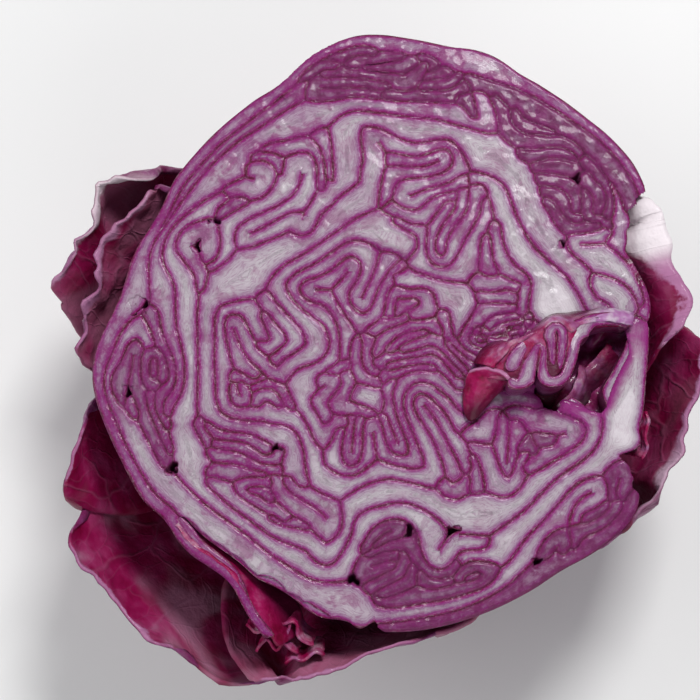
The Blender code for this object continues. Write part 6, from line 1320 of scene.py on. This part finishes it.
# The sprung side: where the first rim leaf has sprung away from the head, its inner side is seen. It is
# the leaf's own thin skin, wine red with a few lilac bruises, and runs down from the cut edge.
BENT_THICKNESS = 0.9
BENT_ROWS = 26
BENT_SAMPLE = 0.7
BENT_CRUMPLE = (0.7, 0.7, 0.45)  # how far a sheet is crumpled to the right, to the back and up
BENT_SIZE, BENT_DOWN = 3.0, 14.0  # the size of its crumples, and how long it counts as for them
BENT_CALMER = 0.6  # how much calmer it is at its foot
SPRUNG_RIM = [
    (-46.6, -46.4, 0), (-43.6, -50.2, 0), (-40, -53, 0), (-36, -55.4, 0), (-32.6, -58.9, 0),
    (-30, -63.2, -0.5), (-27.4, -67.4, -1), (-24.6, -71.4, -2), (-22.2, -74.6, -4)]
SPRUNG_FOOT = [
    (-45.6, -45.8, -2), (-41.4, -47.4, -4), (-36.6, -50.2, -6), (-31.4, -53.4, -8), (-26.6, -57, -9),
    (-22.2, -60.4, -10), (-18.6, -63.6, -10.5), (-16.8, -67.4, -11), (-17.4, -71.4, -11)]


def bent_grid(rim, foot, seed, crumple, bulge):
    """The middle surface between a free edge and a foot, both as x, y and height over the cut."""
    both = smooth_line(np.hstack([np.array(rim, float), np.array(foot, float)]), BENT_SAMPLE)
    rim, foot = both[:, :3], both[:, 3:]
    run = np.concatenate([[0.0], np.cumsum(np.linalg.norm(np.diff(rim, axis=0), axis=1))])
    rows, downs = [], []
    for row in range(BENT_ROWS):
        share = row / (BENT_ROWS - 1)
        line = rim + (foot - rim) * share
        ripple = np.array([[unevenness(r, share * BENT_DOWN, BENT_SIZE, seed + k) for k in range(3)]
                           for r in run])
        line = line + ripple * np.array(BENT_CRUMPLE) * (1.0 - BENT_CALMER * share) * crumple
        line[:, 2] += bulge * math.sin(math.pi * share)
        rows.append(line + np.array([0.0, 0.0, HEAD_DEPTH]))
        downs.append(np.linalg.norm(rim - foot, axis=1) * share)
    return np.array(rows), np.array(downs), run


def bent_finish():
    """Wine red where the leaf is still smooth, lilac to white where it is bent and bruised, darkened lower
    down with painted shade.
    """
    made, tree, shader, place = new_finish("torn_leaf", 0.35)
    down = measured(tree, "from_rim")
    bruised = measured(tree, "bruised")
    patches = mottle(tree, place, 5.0)
    fine = mottle(tree, place, 0.8)
    smooth = shades(tree, patches, (
        (0.3, 0.14, 0.001, 0.022), (0.48, 0.25, 0.003, 0.055), (0.6, 0.33, 0.01, 0.09),
        (0.78, 0.4, 0.07, 0.18)))
    bent = shades(tree, patches, (
        (0.3, 0.26, 0.045, 0.2), (0.48, 0.38, 0.17, 0.36), (0.6, 0.52, 0.4, 0.5), (0.75, 0.7, 0.64, 0.68)))
    spread = sums(tree, "MULTIPLY_ADD", mottle(tree, place, 2.6), 0.9, -0.45)
    colour = tint(tree, rise(tree, sums(tree, "ADD", bruised, spread), 0.15, 0.85), smooth, bent)
    frayed = sums(tree, "ADD", down, sums(tree, "MULTIPLY_ADD", patches, 2.0, -1.0))
    colour = tint(tree, rise(tree, frayed, 0.1, 0.9, 0.6, 0.0), colour, (0.5, 0.26, 0.45))
    # painted shade: from 5 to 11 mm away from its free edge the sheet darkens nearly to the darkest skin
    colour = tint(tree, rise(tree, down, 5.0, 11.0, 0.0, 0.9), colour, DARK_SKIN_AND_SHADE)
    roughness = sums(tree, "MULTIPLY_ADD", fine, 0.35, 0.18)
    relief = sums(tree, "ADD", patches, sums(tree, "MULTIPLY", fine, 0.35))
    surface(tree, shader, colour, roughness, relief, 0.6)
    return made


def bent_sheet(name, rim, foot, seed, bruised, crumple, bulge=0.0, thickness=BENT_THICKNESS, shade_offset=0.0):
    """A bent sheet of leaf, bruised as given at even places along it.

    A shade offset darkens it with painted shade, as if it started this far from its free edge, and so also
    narrows the pale lilac at that edge.
    """
    grid, from_rim, run = bent_grid(rim, foot, seed, crumple, bulge)
    along = np.interp(run / run[-1], np.linspace(0.0, 1.0, len(bruised)), bruised)
    sheet = sheet_body(name, grid, np.full(from_rim.shape, thickness), from_rim=from_rim + shade_offset,
                       bruised=np.broadcast_to(along, from_rim.shape))
    sheet.data.materials.append(bent_skin)
    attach(sheet, "root")
    return sheet


bent_skin = bent_finish()
# the sprung side darkens with painted shade further down
sprung = bent_sheet("leaf_rim_1_sprung", SPRUNG_RIM, SPRUNG_FOOT, 77.0,
                    (0.5, 0.3, 0.1, 0.2, 0.05, 0.15, 0.2), 0.5, 0.8, 0.8, 2.4)

# The torn leaf: a thin leaf that the knife dragged out of the cut, crumpled up above the face over a
# hollow that it left behind. Its folds are pale pink where they are bent and wine red on the flats.
TORN_DEPTH = 7.0  # how deep its edges reach under the cut face
TORN_HALF = 1.6  # half of its thickness at its cut edge
TORN_FACET = 6  # so many points of its rim belong to the red facet at its left
TORN_EDGE_RUN = 137.0 * 200  # where its veins start along the leaves' common net
TORN_RIM = [
    (22.4, -13.2, 2.6), (23.6, -10.2, 6), (26.2, -9.9, 7.2), (28.7, -10, 8), (30.6, -11.2, 8.6),
    (32, -13, 9), (34, -14, 9), (36.2, -11.8, 9), (37.6, -8.8, 9), (38.5, -6, 9),
    (39.6, -4.8, 9), (40.4, -6.6, 9), (40.2, -10.4, 9), (41.4, -13.1, 9), (44.2, -12.7, 9),
    (46.2, -9.1, 8.5), (47.5, -4.4, 8), (48.6, -0.5, 7), (50.9, 1.3, 6), (54.4, 2.3, 4.5),
    (58.6, 2.6, 3), (61.9, 1.9, 2)]
FACET_FOOT = [
    (22, -15.5, 1), (22.9, -22.3, 1), (26.4, -19, 1), (29.3, -15.6, 1.2), (31.4, -13.6, -1),
    (32.7, -13.7, -7.0)]
TORN_FOLD_RIM = [
    (42.6, -11.2, 8.6), (42.2, -7.6, 9), (42.2, -2.8, 9.5), (43.4, -0.8, 9.5), (44.6, -2.8, 9.5),
    (44.5, -6.6, 9), (43.7, -10.6, 8.6)]
TORN_PLEAT_RIM = [
    (37.4, -3.6, 8.4), (35.6, -5.2, 8.8), (33.8, -7.2, 9), (32.7, -9.2, 9), (32.6, -11, 8.8)]
# its cut edges: the part's node, how pale it is, and its rim
TORN_EDGES = (
    ("leaf_torn", 0.75, TORN_RIM[TORN_FACET - 1:]), ("leaf_torn_fold", 1.1, TORN_FOLD_RIM),
    ("leaf_torn_pleat", 0.7, TORN_PLEAT_RIM))
# the free edge of its shoulder, the line at the cut where the shoulder comes out, and the front of the
# leaf that is pressed inside its folds
TORN_SHOULDER = [
    (28.7, -10.2, 8), (30.4, -8, 8.2), (32.4, -5.4, 8.6), (35.4, -3.4, 8.8), (38.4, -2, 9),
    (41, -0.8, 9), (43.4, 0.8, 9), (45.8, -1, 8.8), (47.8, -1.2, 8), (50, 0.6, 6.4), (54.4, 1.7, 4.6),
    (58.6, 1.9, 3.2), (62.2, 1.2, 2.2)]
TORN_BACK = [
    (24.3, -8.2, 2.5), (26.6, -4.4, 1.2), (30, -2.6, 0.9), (34, -3, 0.9), (37.5, -1.2, 1), (40, 1.6, 0.9),
    (43, 3.8, 0.8), (46.6, 4.2, 0.7), (50, 4.6, 0.6), (53, 5, 0.5), (56, 5.4, 0.4), (59, 5.4, 0.3),
    (62.8, 4.2, 0.2)]
TORN_INSIDE = [
    (23.5, -12.8, 3), (27, -12.2, 5.4), (30.5, -13, 7.4), (33.5, -13.4, 8.4), (36, -12, 8.5),
    (38.6, -10.6, 8.5), (41, -12.4, 8.5), (43.4, -12, 8.4), (45, -9.7, 7.8), (46.8, -5.4, 6.8),
    (51, -0.2, 4.4), (54.8, 1, 3), (59, 1.4, 2)]
INSIDE_DROP = 0.6  # how far the leaf inside starts under the shoulder

# the torn leaf's sheets darken with painted shade away from their free edges, and the shoulder and the leaf
# inside it darken sooner
facet = bent_sheet("torn_facet", TORN_RIM[:TORN_FACET], FACET_FOOT, 31.0, (0.0, 0.05, 0.15, 0.3), 0.8)
shoulder = bent_sheet("torn_shoulder", TORN_SHOULDER, TORN_BACK, 52.0,
                      (0.15, 0.4, 0.5, 0.35, 0.6, 0.45, 0.5, 0.9, 1.3, 1.3), 1.0, 1.3, shade_offset=2.0)
inside = bent_sheet("torn_inside", [(x, y, height - INSIDE_DROP) for x, y, height in TORN_SHOULDER],
                    TORN_INSIDE, 58.0, (0.3, 0.3, 0.25, 0.2), 0.35, 0.0, shade_offset=1.5)
torn_edges = press_together({name: [(x, y, TORN_HALF) for x, y, height in rim]
                             for name, paleness, rim in TORN_EDGES})
for name, paleness, rim in TORN_EDGES:
    heights = smooth_line(rim)[:, 2]
    torn = leaf_body(name + "_seen", torn_edges[name], TORN_DEPTH, paleness, TORN_EDGE_RUN, 0.0, heights)
    torn.data.materials.append(cut_leaf)
    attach(torn, "root")
    if name != "leaf_torn_pleat":
        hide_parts(name)

# Crushed scraps: torn ends of the loose leaves that were caught and crumpled against the head when it
# was cut. They are the same thin skin, folded small, and lie just under the head's edge.
SCRAP_THICKNESS = 0.7
SCRAP_INWARD = 0.95  # how far their feet lie towards the axis, as a share of the radius
SCRAP_DROP = 6.0
SCRAPS = (
    ("wrapper_bottom_crushed_1", [
        (-30, -69.4, -7), (-27.4, -71.6, -5.6), (-24.6, -70.6, -6), (-21, -74, -6.4), (-17.6, -76.4, -7.6)]),
    ("wrapper_bottom_crushed_2", [
        (-27.6, -75.8, -8), (-25.4, -73, -7), (-22.8, -75.6, -7), (-20.6, -72.6, -6), (-19.6, -69.4, -5)]),
    ("wrapper_bottom_crushed_3", [
        (-23.4, -66.4, -5), (-21.6, -69.6, -4.6), (-18.6, -68.8, -4.6), (-17.4, -72.6, -5.6),
        (-14.2, -74.4, -7)]),
    ("wrapper_bottom_crushed_4", [
        (-20.8, -78.6, -9), (-18.2, -77.2, -8), (-16.6, -78.2, -8), (-13.4, -75.8, -7.6),
        (-11.8, -76.6, -8)]),
    ("wrapper_right_crushed", [
        (65.6, -19, -1.6), (66.4, -21.6, -1), (65.4, -24.6, -1.4), (66, -27.6, -2.2), (64.6, -30, -3)]),
)

for number, (name, rim) in enumerate(SCRAPS):
    foot = [(x * SCRAP_INWARD, y * SCRAP_INWARD, height - SCRAP_DROP) for x, y, height in rim]
    # each scrap darkens with painted shade towards its foot
    scrap = bent_sheet(name, rim, foot, 90.0 + 3.0 * number, (0.1, 0.4, 0.15, 0.5, 0.2), 0.8, 0.0,
                       SCRAP_THICKNESS, 1.8)

# The hollow under the torn leaf: leaf that was left behind when it tore out, bent down into ridges, wet
# and dark. One leaf stands low in it, bent over to the right, and one more edge stands beside it.
HOLLOW_X, HOLLOW_Y = (22.0, 64.0), (-24.0, 4.0)
HOLLOW_CELL = 0.5
HOLLOW_THICKNESS = 0.8
HOLLOW_MIDDLE = (43.5, -8.5)
HOLLOW_REACH = (20.5, 13.0)
HOLLOW_DEEPEST, HOLLOW_SHALLOWEST = 9.8, 1.5
HOLLOW_LEVEL, HOLLOW_SLOPE = 0.55, 7.0  # it is level to this share of its reach, then rises
RIDGE_HEIGHT, RIDGE_CLOSE, RIDGE_WANDER = 0.9, 0.9, 2.4
RIDGE_ACROSS = (0.8, 0.5)  # the ridges run across this slant
STANDING_TOP, STANDING_FOOT = -5.2, -8.6  # heights of the standing leaf's free edge and of its foot
STANDING_LEAN = (4.0, -4.4)  # how far the foot lies to the right and to the back of it
EDGE_TOP = [(44.4, -17.6, -3), (47.4, -14.6, -2.6), (49.4, -11, -3), (50, -7.4, -4)]
EDGE_FOOT = [(47.6, -19, -6), (51.4, -16.6, -7), (53.4, -13, -8), (53.6, -9, -8.6)]


def hollow_floor():
    """The ridged floor, deepest in the middle and up to the face all round."""
    (middle_x, middle_y), (reach_x, reach_y) = HOLLOW_MIDDLE, HOLLOW_REACH
    rows = []
    for y in np.arange(*HOLLOW_Y, HOLLOW_CELL):
        row = []
        for x in np.arange(*HOLLOW_X, HOLLOW_CELL):
            off = math.hypot((x - middle_x) / reach_x, (y - middle_y) / reach_y)
            slant = (x * RIDGE_ACROSS[0] - y * RIDGE_ACROSS[1]) * RIDGE_CLOSE
            ridge = math.sin(slant + RIDGE_WANDER * unevenness(x, y, 8.0, 2.0))
            rough = unevenness(x, y, 3.0, 4.0)
            risen = HOLLOW_SLOPE * max(0.0, off - HOLLOW_LEVEL)
            depth = HOLLOW_DEEPEST - RIDGE_HEIGHT * ridge - rough - risen
            row.append((x, y, HEAD_DEPTH - max(HOLLOW_SHALLOWEST, depth)))
        rows.append(row)
    grid = np.array(rows)
    return sheet_body("hollow_floor", grid, np.full(grid.shape[:2], HOLLOW_THICKNESS))


def hollow_finish():
    """Wet leaf from nearly black to lilac, in soft patches."""
    made, tree, shader, place = new_finish("hollow_leaf", 0.5)
    patches = mottle(tree, place, 6.0, 3.0, 0.6, 0.5)
    fine = mottle(tree, place, 1.0)
    colour = shades(tree, patches, (
        (0.32, 0.1, 0.003, 0.03), (0.48, 0.17, 0.012, 0.075), (0.6, 0.26, 0.05, 0.17),
        (0.72, 0.34, 0.17, 0.29)))
    roughness = sums(tree, "MULTIPLY_ADD", fine, 0.3, 0.15)
    relief = sums(tree, "ADD", patches, sums(tree, "MULTIPLY", fine, 0.4))
    surface(tree, shader, colour, roughness, relief, 0.6)
    return made


hollow = hollow_floor()
hollow.data.materials.append(hollow_finish())
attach(hollow, "root")
standing_foot = [(x + STANDING_LEAN[0], y + STANDING_LEAN[1], STANDING_FOOT) for x, y, half in HOLLOW_LEAF]
# the leaf in the hollow and the edge beside it are darkened with painted shade from close under their free
# edges
left_behind = bent_sheet("leaf_in_hollow_seen", [(x, y, STANDING_TOP) for x, y, half in HOLLOW_LEAF],
                         standing_foot, 41.0, (0.2, 0.35, 0.5, 0.45, 0.2), 0.9, 1.0, 1.0, 6.4)
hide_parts("leaf_in_hollow")
beside = bent_sheet("hollow_edge", EDGE_TOP, EDGE_FOOT, 44.0, (0.45, 0.6, 0.4), 0.8, 0.8, 0.8, 5.5)

# Where it stands: a plain pale floor under soft studio light, seen almost straight down on the cut.
# The key light stands off the camera's mirror direction, so that the wet face isn't veiled.
FLOOR_REACH = 3.0
LOOKED_AT = Vector((-5.28, -4.39, HEAD_DEPTH)) * MM
VIEW_HEIGHT = 80.0  # degrees over the horizon
VIEW_DISTANCE = 466.67
LIGHTS = (("key_light", (0.15, 0.37, 0.72), 0.2, 4.7), ("fill_light", (-0.75, 0.1, 0.55), 0.8, 3.6),
          ("front_light", (0.3, -0.8, 0.6), 0.8, 3.6))
floor_mesh = bpy.data.meshes.new("floor")
floor_corners = [(x * FLOOR_REACH, y * FLOOR_REACH, 0) for x, y in ((-1, -1), (1, -1), (1, 1), (-1, 1))]
floor_mesh.from_pydata(floor_corners, [], [(0, 1, 2, 3)])
floor = bpy.data.objects.new("floor", floor_mesh)
bpy.context.collection.objects.link(floor)
floor_finish = bpy.data.materials.new("floor")
floor_finish.use_nodes = True
floor_shader = floor_finish.node_tree.nodes["Principled BSDF"]
floor_shader.inputs["Base Color"].default_value = (0.8, 0.8, 0.79, 1.0)
floor_shader.inputs["Roughness"].default_value = 0.7
floor.data.materials.append(floor_finish)

camera = bpy.data.objects.new("camera", bpy.data.cameras.new("camera"))
camera.data.lens = 100.0
camera.data.sensor_width = 36.0
back = Vector((0.0, -math.cos(math.radians(VIEW_HEIGHT)), math.sin(math.radians(VIEW_HEIGHT))))
camera.location = LOOKED_AT + back * VIEW_DISTANCE * MM
camera.rotation_euler = (math.radians(90.0 - VIEW_HEIGHT), 0.0, 0.0)
bpy.context.collection.objects.link(camera)
bpy.context.scene.camera = camera
bpy.context.scene.view_settings.view_transform = "Standard"
for name, spot, size, power in LIGHTS:
    lamp = bpy.data.lights.new(name, "AREA")
    lamp.size = size
    lamp.energy = power
    light = bpy.data.objects.new(name, lamp)
    light.location = spot
    light.rotation_euler = (LOOKED_AT - light.location).to_track_quat("-Z", "Y").to_euler()
    bpy.context.collection.objects.link(light)
world = bpy.data.worlds.new("studio")
world.use_nodes = True
world.node_tree.nodes["Background"].inputs["Color"].default_value = (0.9, 0.92, 1.0, 1.0)
world.node_tree.nodes["Background"].inputs["Strength"].default_value = 0.2
bpy.context.scene.world = world
